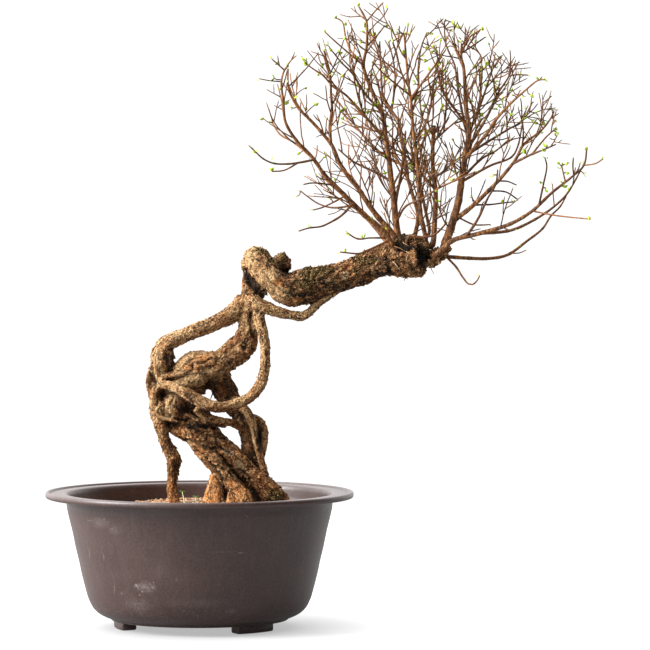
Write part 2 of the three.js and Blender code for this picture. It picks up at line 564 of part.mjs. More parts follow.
// Soil: fills the pot to a grainy, mounded top
function soilTop(x, y) {
  const fromMound = Math.hypot(x - MOUND_CENTRE[0], y - MOUND_CENTRE[1]) / MOUND_SPREAD;
  const mound = SOIL_MOUND * Math.exp(-fromMound * fromMound);
  const grain = Math.sin(x * 0.53 + 1.3) * Math.sin(y * 0.47 + 0.4)
    + 0.7 * Math.sin(x * 0.21 - y * 0.33 + 2.1);
  return SOIL_LEVEL + mound + SOIL_GRAIN * grain;
}

function soil() {
  const sides = ROUND_SEGMENTS;
  const positions = [];
  const triangles = [];
  const ringAt = (radius, level) => {
    for (let k = 0; k < sides; k++) {
      const angle = (k / sides) * 2 * Math.PI;
      const x = radius * Math.cos(angle);
      const y = radius * Math.sin(angle);
      positions.push(x, y, level === null ? soilTop(x, y) : level);
    }
  };
  const bottomLevel = FOOT_HEIGHT + WALL + CLEARANCE;
  ringAt(BASE_RADIUS - 3, bottomLevel);
  innerWall(WALL_GAP).forEach(([radius, level]) => ringAt(radius, level));
  ringAt(MOUTH_RADIUS - 4.2, SOIL_LEVEL - 5);
  ringAt(MOUTH_RADIUS - 2.5, null);
  SOIL_RINGS.forEach((radius) => ringAt(radius, null));
  const rings = positions.length / 3 / sides;
  for (let i = 0; i < rings - 1; i++) {
    for (let k = 0; k < sides; k++) {
      const a = i * sides + k;
      const b = i * sides + ((k + 1) % sides);
      triangles.push(a, b, b + sides, a, b + sides, a + sides);
    }
  }
  const bottom = rings * sides;
  positions.push(0, 0, bottomLevel, 0, 0, soilTop(0, 0));
  for (let k = 0; k < sides; k++) {
    const next = (k + 1) % sides;
    triangles.push(bottom, next, k);
    triangles.push(bottom + 1, (rings - 1) * sides + k, (rings - 1) * sides + next);
  }
  return solidFromArrays(positions, triangles);
}

// Trunk, limbs and roots, joined as one growth
function ringsOf(rows, step) {
  const points = rows.map(([x, y, z]) => sighted(x, z, y));
  return limbRings(points, rows.map((row) => row[3]), step);
}

function woodRings() {
  return [TRUNK, ...Object.values(LIMBS), ...Object.values(ROOTS)].map((rows) => ringsOf(rows, RING_STEP));
}

function growthLimbs(grow) {
  return woodRings().map((rings, i) => {
    const widest = Math.max(...rings.map((ring) => ring.radius));
    const sides = widest > 11 ? 10 : widest > 6.5 ? 7 : 6;
    return limbSolid(rings, sides, WOOD_LOBES, i * 1.9, grow);
  });
}

// Shoot lines: the main stem and its branches as rings, each branch rooted in its nearest wood
function heartOfTrunk(point) {
  let best = null;
  [TRUNK, LIMBS.spur, LIMBS.knot].forEach((rows) => {
    ringsOf(rows, 3).forEach((ring) => {
      const distance = ring.centre.distanceTo(point) - ring.radius;
      if (best === null || distance < best.distance) {
        best = { distance, centre: ring.centre, radius: ring.radius };
      }
    });
  });
  return best;
}

function sunkenFoot(point) {
  const heart = heartOfTrunk(point);
  const outward = point.clone().sub(heart.centre).normalize();
  return heart.centre.clone().addScaledVector(outward, Math.max(1, heart.radius - SHOOT_SINK));
}

function lineRings(path, depths, radii) {
  const lengths = [0];
  for (let i = 1; i < path.length; i++) {
    lengths.push(lengths[i - 1] + Math.hypot(path[i][0] - path[i - 1][0], path[i][1] - path[i - 1][1]));
  }
  const total = lengths[lengths.length - 1];
  return path.map(([across, height], i) => {
    const along = lengths[i] / total;
    return {
      centre: sighted(across, height, depths[0] + (depths[1] - depths[0]) * along),
      radius: radii[0] + (radii[1] - radii[0]) * along,
    };
  });
}

function nearestOn(lines, across, height) {
  let best = null;
  lines.forEach((rings) => {
    for (let i = 0; i < rings.length - 1; i++) {
      for (let j = 0; j <= 6; j++) {
        const point = rings[i].centre.clone().lerp(rings[i + 1].centre, j / 6);
        const target = sighted(across, height, point.y);
        const distance = point.distanceTo(target);
        if (best === null || distance < best.distance) {
          best = { distance, point };
        }
      }
    }
  });
  return best.point;
}

function shootLines(shoot) {
  const main = lineRings(shoot.path, shoot.depth, shoot.radius);
  main.unshift({ centre: sunkenFoot(main[0].centre), radius: main[0].radius });
  const lines = [main];
  shoot.branches.forEach((branch) => {
    const [across, height] = branch.path[0];
    const root = nearestOn(lines, across, height);
    const rings = lineRings(branch.path, [root.y, branch.depth], branch.radius);
    rings[0].centre.copy(root);
    lines.push(rings);
  });
  return lines;
}

// A seeded draw between 0 and 1
function seededDraw(seed) {
  let state = seed;
  return () => {
    state = (state * 1664525 + 1013904223) % 4294967296;
    return state / 4294967296;
  };
}

// Shortest distance between two straight pieces of wood
function gapBetween(a, b, c, d) {
  const ab = b.clone().sub(a);
  const cd = d.clone().sub(c);
  const ac = a.clone().sub(c);
  const abab = ab.dot(ab);
  const cdcd = cd.dot(cd);
  const abcd = ab.dot(cd);
  const abac = ab.dot(ac);
  const cdac = cd.dot(ac);
  const denominator = abab * cdcd - abcd * abcd;
  let s = denominator > 1e-9 ? THREE.MathUtils.clamp((abcd * cdac - abac * cdcd) / denominator, 0, 1) : 0;
  const t = THREE.MathUtils.clamp((abcd * s + cdac) / cdcd, 0, 1);
  s = THREE.MathUtils.clamp((abcd * t - abac) / abab, 0, 1);
  return a.clone().addScaledVector(ab, s).distanceTo(c.clone().addScaledVector(cd, t));
}

// Every straight piece of wood along some lines, with the node that it belongs to
function segmentsOf(name, lines) {
  return lines.flatMap((rings) => rings.slice(1).map((ring, i) => ({
    name,
    from: rings[i].centre,
    to: ring.centre,
    radius: Math.max(rings[i].radius, ring.radius),
  })));
}

function hasRoom(segments, name, from, to) {
  return segments.every((segment) => segment.name === name
    || gapBetween(from, to, segment.from, segment.to) > segment.radius + GROWTH_CLEARANCE);
}

// A leaf: a thin pointed blade, rooted in the middle of its twig
function leafSolid(foot, direction, across, length) {
  const width = length * 0.27;
  const thick = across.clone().cross(direction).normalize().multiplyScalar(LEAF_THICKNESS / 2);
  const middle = foot.clone().addScaledVector(direction, length * 0.55);
  const corners = [
    foot,
    middle.clone().addScaledVector(across, width),
    foot.clone().addScaledVector(direction, length),
    middle.clone().addScaledVector(across, -width),
    middle.clone().add(thick),
    middle.clone().sub(thick),
  ];
  const triangles = [4, 0, 1, 4, 1, 2, 4, 2, 3, 4, 3, 0, 5, 1, 0, 5, 2, 1, 5, 3, 2, 5, 0, 3];
  return solidFromArrays(corners.flatMap((corner) => corner.toArray()), triangles);
}

// Side growth along one line: twigs and leaves turn by turn to the two sides of the wood
function sideGrowth(rings, draw) {
  const growth = [];
  const turn = draw() * Math.PI;
  let travelled = 0;
  let next = GROWTH_START;
  let count = 0;
  for (let i = 0; i < rings.length - 1; i++) {
    const from = rings[i].centre;
    const to = rings[i + 1].centre;
    const length = from.distanceTo(to);
    const along = to.clone().sub(from).normalize();
    const side = new THREE.Vector3(0, 1, 0).cross(along).normalize();
    const other = along.clone().cross(side);
    while (next < travelled + length) {
      const angle = turn + count * Math.PI + (draw() - 0.5) * 1.8;
      const kind = draw();
      const size = draw();
      const spread = 0.55 + 0.5 * draw();
      const outward = side.clone().multiplyScalar(Math.cos(angle)).addScaledVector(other, Math.sin(angle));
      growth.push({
        foot: from.clone().addScaledVector(along, next - travelled),
        outward,
        direction: along.clone().multiplyScalar(Math.cos(spread)).addScaledVector(outward, Math.sin(spread)),
        kind,
        size,
      });
      next += GROWTH_STEP * (0.7 + 0.6 * draw());
      count += 1;
    }
    travelled += length;
  }
  return growth;
}

function between([low, high], share) {
  return low + (high - low) * share;
}

// A young stem: few sides, and nearly round
function stemSolid(rings, grow) {
  const thickness = rings[0].radius;
  const sides = thickness > 2.2 ? 5 : thickness > 1.4 ? 4 : 3;
  return limbSolid(rings, sides, STEM_LOBES, 0, grow);
}

// One shoot: its stem, branches, twigs and leaves, joined
function shootSolid(name, lines, segments, draw) {
  const solids = lines.map((rings) => stemSolid(rings, 0));
  const leafAt = (foot, direction, size) => {
    const across = direction.clone().cross(new THREE.Vector3(0.3, LEAF_TILT, 0.5)).normalize();
    solids.push(leafSolid(foot, direction, across, between(LEAF_LENGTH, size)));
  };
  lines.forEach((rings) => {
    sideGrowth(rings, draw).forEach(({ foot, outward, direction, kind, size }) => {
      if (kind < TWIG_CHANCE) {
        const reach = between(TWIG_LENGTH, size);
        const bend = foot.clone().addScaledVector(direction, reach * 0.55);
        const tip = bend.clone().addScaledVector(direction, reach * 0.4);
        tip.z += reach * 0.14;
        if (hasRoom(segments, name, foot, tip)) {
          const twig = [foot, bend, tip].map((centre) => ({ centre, radius: TWIG_RADIUS }));
          solids.push(limbSolid(twig, 3, 0, 0, 0));
          leafAt(tip.clone().addScaledVector(direction, -0.8), direction, 0.7);
          leafAt(bend, outward, size);
        }
      } else if (kind < LEAF_CHANCE) {
        if (hasRoom(segments, name, foot, foot.clone().addScaledVector(direction, LEAF_LENGTH[1]))) {
          leafAt(foot, direction, size);
        }
      }
    });
    const tip = rings[rings.length - 1].centre;
    const before = rings[rings.length - 2].centre;
    const along = tip.clone().sub(before).normalize();
    leafAt(tip.clone().addScaledVector(along, -0.8), along, 0.6);
  });
  return pruned(joined(solids), SHOOT_DETAIL);
}

// A weed seedling: a thin stem in the soil with one pair of seed leaves
function seedlingStem({ foot, height, lean }, grow) {
  const level = soilTop(foot[0], foot[1]);
  const rings = [
    [0, -SEEDLING_ROOT], [0, 0], [0.35, height * 0.5], [1, height],
  ].map(([share, rise]) => ({
    centre: new THREE.Vector3(foot[0] + lean[0] * share, foot[1] + lean[1] * share, level + rise),
    radius: SEEDLING_RADIUS,
  }));
  return { rings, solid: limbSolid(rings, 6, 0, 0, grow) };
}

function seedling(data) {
  const { rings, solid } = seedlingStem(data, 0);
  const top = rings[rings.length - 1].centre;
  const leaves = [-1, 1].map((turn) => {
    const direction = new THREE.Vector3(turn * 0.9, -turn * 0.2, 0.42).normalize();
    const across = new THREE.Vector3(0.2 * turn, 0.95, 0).normalize();
    return leafSolid(top, direction, across.cross(direction).cross(direction).normalize(), data.leaf);
  });
  return joined([solid, ...leaves]);
}

// Assembly
const draw = seededDraw(GROWTH_SEED);
const crown = SHOOTS.map((shoot) => ({ name: shoot.name, lines: shootLines(shoot) }));
const segments = [
  ...segmentsOf("trunk_and_roots", woodRings()),
  ...crown.flatMap(({ name, lines }) => segmentsOf(name, lines)),
];

let trunk = pruned(joined(growthLimbs(0)), WOOD_DETAIL);
crown.forEach(({ lines }) => {
  lines.forEach((rings) => {
    trunk = trunk.subtract(stemSolid(rings, CLEARANCE));
  });
});
trunk = mainBody(trunk);

let ground = soil().subtract(joined(growthLimbs(CLEARANCE)));
SEEDLINGS.forEach((data) => {
  ground = ground.subtract(seedlingStem(data, CLEARANCE).solid);
});

const bonsai = new THREE.Group();
bonsai.add(namedMesh("pot", pot(), POT_COLOUR, 0.55));
bonsai.add(namedMesh("soil", pruned(ground, SOIL_DETAIL), SOIL_COLOUR, 0.95));
bonsai.add(namedMesh("trunk_and_roots", trunk, WOOD_COLOUR, 0.85));
crown.forEach(({ name, lines }) => {
  bonsai.add(namedMesh(name, shootSolid(name, lines, segments, draw), SHOOT_COLOUR, 0.7));
});
SEEDLINGS.forEach((data) => {
  bonsai.add(namedMesh(data.name, seedling(data), SEEDLING_COLOUR, 0.6));
});

const bounds = new THREE.Box3().setFromObject(bonsai);
const middle = bounds.getCenter(new THREE.Vector3());
bonsai.position.set(-middle.x, -middle.y, -bounds.min.z);
bonsai.updateMatrixWorld(true);

export default bonsai;
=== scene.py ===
import json
import math

import bmesh
import bpy
import numpy as np
from mathutils import Matrix, Vector, noise

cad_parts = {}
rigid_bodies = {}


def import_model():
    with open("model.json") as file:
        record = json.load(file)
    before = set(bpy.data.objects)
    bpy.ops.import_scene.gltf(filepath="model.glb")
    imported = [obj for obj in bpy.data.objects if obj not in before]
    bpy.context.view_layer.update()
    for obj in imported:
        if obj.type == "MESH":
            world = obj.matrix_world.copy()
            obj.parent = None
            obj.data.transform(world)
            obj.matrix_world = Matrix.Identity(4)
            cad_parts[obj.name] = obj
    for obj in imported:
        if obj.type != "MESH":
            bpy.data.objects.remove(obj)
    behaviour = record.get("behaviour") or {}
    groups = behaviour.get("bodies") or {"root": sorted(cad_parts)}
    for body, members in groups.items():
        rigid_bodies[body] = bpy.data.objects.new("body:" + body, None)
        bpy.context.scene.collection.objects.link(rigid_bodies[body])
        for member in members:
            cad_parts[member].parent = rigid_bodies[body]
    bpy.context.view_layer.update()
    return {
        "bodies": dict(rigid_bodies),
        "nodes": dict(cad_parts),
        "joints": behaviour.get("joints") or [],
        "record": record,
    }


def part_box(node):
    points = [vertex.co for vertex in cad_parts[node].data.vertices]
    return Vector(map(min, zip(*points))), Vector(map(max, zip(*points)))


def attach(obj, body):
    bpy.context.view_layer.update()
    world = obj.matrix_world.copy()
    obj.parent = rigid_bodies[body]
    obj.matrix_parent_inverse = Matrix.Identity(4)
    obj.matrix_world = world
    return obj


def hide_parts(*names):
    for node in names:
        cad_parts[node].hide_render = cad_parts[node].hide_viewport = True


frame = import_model()

# Everything is made in millimetres round the pot's axis: x across to the right, y to the back, z up.
# settle() takes a finished piece into the row frame, in metres.
MM = 0.001
AXIS_X = (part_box("pot")[0][0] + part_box("pot")[1][0]) / 2

# The picture's point of view, and where it meets the plane of the pot's axis
EYE_SIDE = 125
EYE_DISTANCE = 4500
EYE_HEIGHT = 474
AIM = (125.5, 302.5)
PICTURE_WIDTH = 650
SENSOR = 36

# Studio light, in metres and watts. A side of the tent: the way to it, the cosine at which its
# light begins, and its brightness.
TENT_SIDES = [
    ((-0.9, -0.1, 0.42), -0.1, 2.25), ((0.1, 0.98, 0.15), 0.2, 1.7), ((0.0, 0.2, 0.98), 0.3, 1.4),
]
TENT_REST = 0.02
TENT_SEEN = 1.1
WHITE = (1, 1, 1, 1)
KEY_PLACE = (-2.5, -0.75, 1.5)
KEY_TARGET = (0.0, 0.0, 0.28)
KEY_SIZE = 1.2
KEY_POWER = 166
FLOOR_RADIUS = 1.6
FLOOR_DROP = 0.0003
# The floor's glow: low under the pot as a painted contact shadow, high from the outer radius on.
FLOOR_GLOW = (0.46, 0.93)
FLOOR_BOUNCE = 0.21
FLOOR_SHADOW_RADII = (90, 230)

# Pot. A corner of its profile: radius, height, easing.
POT_PROFILE = [
    (80, 9.8, 0), (82, 7.6, 0.8), (88.5, 7.6, 1.2), (90, 10.2, 1), (94, 11, 1), (101, 14.2, 7),
    (107, 19.6, 8), (110.2, 26, 8), (112.4, 31.5, 4), (115.6, 43.5, 4), (118.6, 55.5, 4),
    (121, 67.5, 4), (124, 79.5, 4), (127.6, 97.5, 4), (130.8, 110, 4), (133, 120, 2),
    (133.6, 129.8, 1.4), (151.6, 130.2, 1), (152.4, 129.8, 0.6), (153.8, 130.4, 0.9),
    (154.4, 132.4, 0.8), (154.1, 134.6, 1), (152.9, 136, 0.9), (150.8, 135.8, 0.8),
    (149.8, 133.9, 0.7), (148.6, 133.6, 0.7), (146.6, 134.3, 0.8), (136, 134.8, 1.2),
    (133, 134.4, 1.4), (131.4, 131, 2), (130.7, 122, 2), (125, 98, 4), (113.2, 47, 6),
    (107.2, 26, 6), (95, 12.8, 4), (85, 10.8, 2), (60, 10.8, 0),
]
POT_EDGE_ANGLE = 34
MOUTH_RADIUS = 131.5
FOOT_RING = (70, 86)
FOOT_ARC = 33
FOOT_HEIGHT = 10
FOOT_AZIMUTHS = (-46, -168, 73)
DRAIN_RADIUS = 6
DRAIN_CIRCLE = 42
DRAIN_AZIMUTHS = (45, 135, 225, 315)
POT_SIDES = 144

# Pale scuffs on the pot's near side, whose radius is about the same at all of them: across,
# height, half width, half height, strength
SCUFF_RADIUS = 124
POT_SCUFFS = [
    (-109, 108, 4, 1, 0.6), (-98, 106, 14, 7, 0.3), (-84, 98, 9, 7, 0.2), (-54, 39, 12, 7, 0.5),
    (-47, 38, 2.6, 1.6, 1.0), (-57.7, 34.2, 1.4, 1.4, 0.9), (-63, 40.5, 4, 3, 0.75), (-86, 38, 0.9, 9, 0.35),
    (-110, 74, 1, 9, 0.3), (-96, 70, 1, 5, 0.35), (-40, 60, 22, 14, 0.06), (41, 74, 3, 1, 0.6),
    (24, 75, 18, 0.8, 0.2), (0, 22, 40, 6, 0.14), (-64, 20, 18, 8, 0.24), (32, 14, 6, 4, 0.25),
    (-46.5, 44, 1, 1, 0.8), (-60.7, 31, 1.3, 1.5, 0.7), (-78.7, 32.5, 0.8, 1.5, 0.6),
    (-23.7, 47, 0.8, 2.5, 0.5), (-2.5, 9, 1.5, 1.5, 0.6), (26.2, 13.3, 1.2, 1.2, 0.6),
]

# Soil
SOIL_LEVEL = 118.5
SOIL_MOUND = 7
SOIL_DIP = 2.6
MOUND_CENTRE = (22, 0)
MOUND_SPREAD = 62
BED_PROFILE = [(84, 11.6), (93, 13.6), (105, 27), (112, 48), (123.6, 98), (128.4, SOIL_LEVEL - 4)]
BED_SIDES = 120
BED_STEP = 3
BED_EDGE_ANGLE = 50
GRAIN_SEED = 73
GRAIN_SPACING = 3.1
GRAIN_ROW = 0.87
GRAIN_KINDS = 5
BED_GAP = 2.2
GRAIN_GAP = 2.6
ROOT_FEET_TOP = 135

# Wood
WOOD_VOXEL = 1.22
WOOD_LOBES = 0.075
WOOD_SIDES = 24
WOOD_STEP = 3
SHOOT_SINK = 7

# The lower tree as limbs: how the bark looks (plates, pale, orange, dark, pores, each from 0 to
# 1), then points (across, depth, height, radius) along lines of sight. Depth grows to the back.
# Dark is dark bark and also painted shade: limbs that lie in shadow behind others and fill the
# gaps between them, such as inner, crotch, knob_tail and right_shade, are made near black.
LIMBS = {
    "trunk": ((0.8, 0.4, 0.35, 0.15, 0.5), [
        (-3.5, 0, 261.5, 12.8), (13.5, 0, 263, 13.4), (24, 0, 267, 12.2), (34.5, 0, 275, 13),
        (45, 0, 285, 12.4), (48, 0, 296.5, 10.2), (47, 1, 309.5, 7.9), (46.5, 3, 322.5, 7),
        (48.5, 6, 335.5, 7), (49.5, 9, 349.5, 8), (51, 4, 361, 10.4), (55, -3, 368, 13.6),
        (65, -8, 359.5, 14.8), (76, -8, 344.5, 15.2), (88.5, -5, 338, 17.6), (100.5, 0, 339, 20),
        (112.5, 2, 343, 17.8), (121.5, 1, 345.5, 16.2), (136.5, 0, 349.5, 14.5), (152, 0, 354, 14),
        (167.5, 0, 360.5, 14), (183.5, 0, 366, 14.8), (196.5, 0, 369.5, 18), (208.5, 0, 371.5, 20.4),
        (219, 0, 371.5, 20.2), (226.5, 0, 370.5, 17),
    ]),
    "stub": ((1.0, 0.2, 0.0, 0.25, 0.3), [
        (68, 0, 350, 10), (75, 6, 358, 11), (82.5, 12, 364.5, 11.4), (85, 15, 366, 9),
    ]),
    "spur": ((0.8, 0.2, 0.3, 0.3, 0.2), [
        (218, 0, 368, 10), (231, -2, 369, 8), (241, -3, 374, 6.5), (247, -3, 381, 5),
    ]),
    "knot": ((1.0, 0.0, 0.1, 0.9, 0.2), [
        (203, 2, 378, 10), (206, 4, 389, 7),
    ]),
    "ridge": ((1.0, 0.1, 0.3, 0.5, 0.2), [
        (94, 2, 348, 6.5), (104, 3, 352, 6.6), (114, 2, 353.5, 5.6), (123, 1, 352, 3.5),
    ]),
    # The recess is made dark as painted shade in its hollow.
    "recess": ((0.6, 0.0, 0.1, 0.9, 0.2), [
        (50, 9, 350, 7.5), (57, 6, 339, 8), (60, 1, 330, 7),
    ]),
    "heel": ((0.6, 0.7, 0.4, 0.0, 0.7), [
        (13, 0, 264, 10.5), (0, 0, 266.5, 10.5), (-10, 0, 265, 9.7), (-18, -1, 259.5, 8.1),
        (-23, -1, 252, 5.5),
    ]),
    "heel_strand": ((0.5, 0.6, 0.3, 0.1, 0.9), [
        (1.5, -2, 252, 9), (-6, -3, 249, 9), (-14, -4, 247, 8.4), (-24, -2, 244, 7),
    ]),
    "elbow": ((0.9, 0.1, 0.3, 0.7, 0.2), [
        (33, 0, 276, 9), (44, -5, 277.5, 8.4), (50.5, -6, 275, 5.8),
    ]),
    # The two inner strands lie behind the heel and the loop, near black as painted shade.
    "inner": ((0.7, 0.1, 0.1, 0.9, 0.3), [
        (-16, 8, 247, 8), (0, 10, 246.5, 9), (13, 13, 246, 9),
    ]),
    "inner_low": ((0.7, 0.1, 0.1, 0.9, 0.3), [
        (-24, 8, 226, 9), (-8, 10, 217, 8.5), (8, 12, 209, 7),
    ]),
    "left": ((0.7, 0.45, 0.3, 0.15, 0.7), [
        (44, 3, 330.5, 6.4), (40, 2, 322, 7.4), (33.5, 1, 314.5, 8.8), (19.5, 0, 306.5, 8.4),
        (-2, 0, 297.5, 8), (-19, 0, 290.5, 7.9), (-34.5, 0, 281.5, 9), (-39, 0, 270.5, 9.9),
        (-40, 0, 259.5, 9.4), (-42, 2, 249.5, 8.4), (-39.5, 6, 237.5, 8.8), (-33.5, 8, 222.5, 9.8),
        (-22, 6, 206, 10.4),
    ]),
    "left_bulge": ((0.8, 0.2, 0.2, 0.5, 0.5), [
        (-35, -2, 279, 6), (-30.5, -3, 272, 6), (-32, -2, 263, 5),
    ]),
    "left_web": ((0.8, 0.0, 0.1, 1.0, 0.4), [
        (-35, 3, 270, 6.5), (-31.5, 3, 260, 7.5), (-28, 3, 250, 7),
    ]),
    "left_strand": ((0.6, 0.3, 0.2, 0.4, 0.7), [
        (-41, -2, 263, 5), (-49, -3, 255, 3.6), (-50.5, -3, 243, 3.2), (-47, -2, 231, 3.8),
    ]),
    "under": ((0.45, 0.5, 0.15, 0.1, 1.0), [
        (50, -6, 331, 6.4), (55, -10, 326.5, 6.9), (65.5, -11, 320.5, 6.6), (78.5, -10, 315.5, 5.7),
        (94, -8, 312, 5), (105, -6, 312, 5), (111, -4, 316.5, 4.7), (118.5, -3, 324.5, 4.8),
        (128.5, -2, 332, 5), (143, 0, 342, 5),
    ]),
    "loop": ((0.45, 0.42, 0.3, 0.05, 1.0), [
        (50, -4, 332, 7.2), (57.5, -7, 318.5, 7), (60.5, -9, 307, 6), (64, -10, 293, 5.4),
        (65.5, -10, 280.5, 5.1), (65.5, -10, 267.5, 5), (64.5, -11, 255, 5.1), (61.5, -11, 244, 5.2),
        (55, -13, 234.5, 5.3), (43.5, -16, 226, 5.5), (31, -18, 222, 5.7), (19, -20, 220.5, 6),
        (4.5, -21, 224.5, 6.5), (-8.5, -21, 231.5, 6.4), (-21, -19, 238.5, 5.6), (-31, -17, 242.2, 4.8),
        (-38.5, -13, 242.6, 4.3), (-44, -11, 238.6, 4.1), (-46.5, -9, 231, 3.8),
        (-46.5, -7, 221.5, 3.9), (-44.5, -6, 212.5, 4.8), (-38.8, -5, 202.5, 6.6),
        (-36.3, -4, 191.5, 5.6), (-31.8, -4, 179.5, 5.8), (-26, -4, 167.5, 7.6), (-26.5, -4, 158, 6.2),
        (-27.5, -4, 149, 5.6), (-28, -5, 140, 5.7), (-26.5, -6, 131, 5.9), (-24, -7, 121.5, 6.2),
        (-21.5, -8, 108, 5),
    ]),
    "thin_upper": ((0.4, 0.4, 0.3, 0.15, 0.8), [
        (-9.5, -6, 259, 6), (-17, -9, 254.5, 4), (-26, -10, 252.8, 2.9), (-35, -8, 250.6, 2.7),
        (-42, -5, 246.5, 2.8), (-46, -4, 238, 2.8),
    ]),
    "diagonal": ((1.0, 0.25, 0.55, 0.2, 0.4), [
        (-27, 5, 209, 11), (-16, 3, 201.5, 12.6), (-4.5, 2, 196, 13), (8.5, 2, 189.5, 12.4),
        (21.5, 2, 181.5, 10.9), (35.5, 2, 168.5, 10.8), (49.5, 2, 153, 10.4), (66, 1, 139.5, 11.4),
        (77.5, 1, 128, 10), (84, 0, 117.5, 8.9), (87, 0, 105, 7),
    ]),
    "front": ((0.9, 0.3, 0.55, 0.15, 0.5), [
        (-13, -4, 198, 8), (-6, -7, 189.5, 8.7), (3, -9, 177, 9.3), (15, -11, 163.5, 8.8),
        (26.5, -12, 150.5, 8.2), (37, -14, 139.5, 8.4), (44.5, -16, 129.5, 8.2), (48, -17, 119.5, 8),
        (49, -18, 106, 7),
    ]),
    "hind": ((0.9, 0.1, 0.4, 0.7, 0.3), [
        (-24, 10, 217, 9), (-10, 13, 208, 9), (5.5, 14, 199.5, 8.5), (20, 13, 185, 7.8),
        (34, 11, 170, 7.2),
    ]),
    "back": ((0.9, 0.1, 0.2, 0.9, 0.4), [
        (10, 6, 261, 10), (19, 13, 249, 11.3), (24, 18, 240, 12), (30, 20, 228, 11.4),
        (41, 18, 214, 10.3), (47.5, 18, 197.5, 9.3), (50.5, 16, 179.5, 9.3), (56.5, 14, 162.5, 8.5),
        (63.5, 14, 142.5, 7.8), (67, 14, 126, 7.2), (70, 15, 107, 6),
    ]),
    "right": ((0.5, 0.4, 0.1, 0.25, 0.8), [
        (34, 14, 227, 6), (39, 5, 223, 5.3), (45.5, 0, 217.5, 4.8), (51, -3, 208.7, 4.4),
        (54.2, -4, 197.5, 4.1), (56.8, -4, 184, 3.9), (60.2, -2, 173, 3.9), (62.8, 2, 163, 3.8),
        (65.8, 6, 152, 3.7), (69, 7, 139, 3.5), (72, 7, 124, 3.5), (74, 6, 108, 3),
    ]),
    "right_loop": ((0.4, 0.3, 0.1, 0.4, 0.7), [
        (49, 8, 211.5, 3.6), (55, 9, 210, 3.6), (61, 9, 206.3, 3.6), (64.4, 8, 199.5, 3.6),
        (65.4, 7, 190.5, 3.5), (64.4, 6, 180.5, 3.3), (62.4, 4, 171, 3.2),
    ]),
    "right_shade": ((0.7, 0.0, 0.0, 1.0, 0.3), [
        (55, 15, 207.5, 4.2), (59, 16, 201, 4.4), (59.4, 16, 190, 4.4), (60, 15, 180, 4.2),
        (61, 14, 169, 4),
    ]),
    "collar": ((0.5, 0.35, 0.25, 0.25, 0.8), [
        (-3.5, -16, 219, 4.4), (3.5, -13, 212.5, 4.2), (12.5, -8, 208.5, 4), (22.5, -3, 206.3, 3.8),
        (32.5, 4, 204.5, 4.2), (42, 12, 200, 4.7),
    ]),
    "collar_thread": ((0.4, 0.3, 0.3, 0.35, 0.6), [
        (-14, -10, 213, 3.2), (-6, -10, 209, 2.6), (3.5, -9, 204.5, 2.2), (14.5, -5, 202.6, 2),
        (26, 3, 201, 2.3),
    ]),
    "knob": ((0.8, 0.45, 0.5, 0.05, 0.7), [
        (-26, 0, 233, 9), (-26, -3, 223, 13.6), (-24.5, -2, 213, 11),
    ]),
    # The knob's tail lies in the shadow under the loop, near black as painted shade.
    "knob_tail": ((0.9, 0.0, 0.2, 1.0, 0.5), [
        (-20, 4, 222, 9), (-9, 4, 215, 8.6), (3, 3, 208, 7.5), (15, 2, 202, 6),
    ]),
    "brow": ((0.8, 0.0, 0.2, 0.9, 0.4), [
        (-10, 0, 240, 5.5), (-2, -1, 237.5, 5.5), (5, 1, 238, 4.6),
    ]),
    "fork": ((0.6, 0.1, 0.2, 0.7, 0.5), [
        (-38, -4, 246.5, 3.4), (-30, -4, 248.5, 4), (-20, -1, 250.5, 5),
    ]),
    # The crotch fills the gap behind the front limb and the diagonal, near black as painted shade.
    "crotch": ((0.9, 0.0, 0.2, 1.0, 0.3), [
        (26, 2, 168, 6), (33, 1, 160, 7), (46, 1, 145, 7), (55, 1, 132, 7), (62, 1, 118, 7),
        (65, 1, 106, 6),
    ]),
    "curl": ((0.2, 0.5, 0.1, 0.2, 0.4), [
        (-36.5, -13, 224.5, 2.2), (-41.8, -13, 219.5, 1.7), (-42, -12, 214.5, 1.7),
        (-38.5, -12, 210.5, 1.8), (-32, -11, 208, 2.1), (-22, -10, 205.5, 2.6),
    ]),
    "stump_left": ((0.4, 0.3, 1.0, 0.0, 0.0), [
        (18, -6, 160, 5), (15, -8, 148, 5.4), (13, -11, 137, 7.2), (12.6, -13, 126, 9.4),
        (12.4, -14, 115, 10), (12.4, -14, 104, 8),
    ]),
    "stump_ridge": ((0.3, 0.35, 1.0, 0.0, 0.0), [
        (19, -8, 147, 3), (17, -15, 134, 4), (17, -19, 120, 4.5), (17, -19, 106, 4),
    ]),
    "stump_right": ((0.5, 0.1, 1.0, 0.1, 0.0), [
        (33, -10, 139, 4), (32, -14, 130, 5), (32, -18, 120.5, 7), (32, -19, 106, 7),
    ]),
    "stump_back": ((0.6, 0.0, 0.4, 1.0, 0.1), [
        (26, -2, 147, 5), (26.5, 3, 134, 5), (27.5, 4, 119, 5), (28, 4, 105, 4),
    ]),
}

# Where the bark changes, as seen from the front
LIMB_FROM = 84
LIMB_FLOOR = 320
BEND_FLOOR = 322
BURL_FROM = 183
BURL_TO = 218
BURL_FLOOR = 340
LOOP_FOOT_TOP = 205
SOIL_LINE = 122

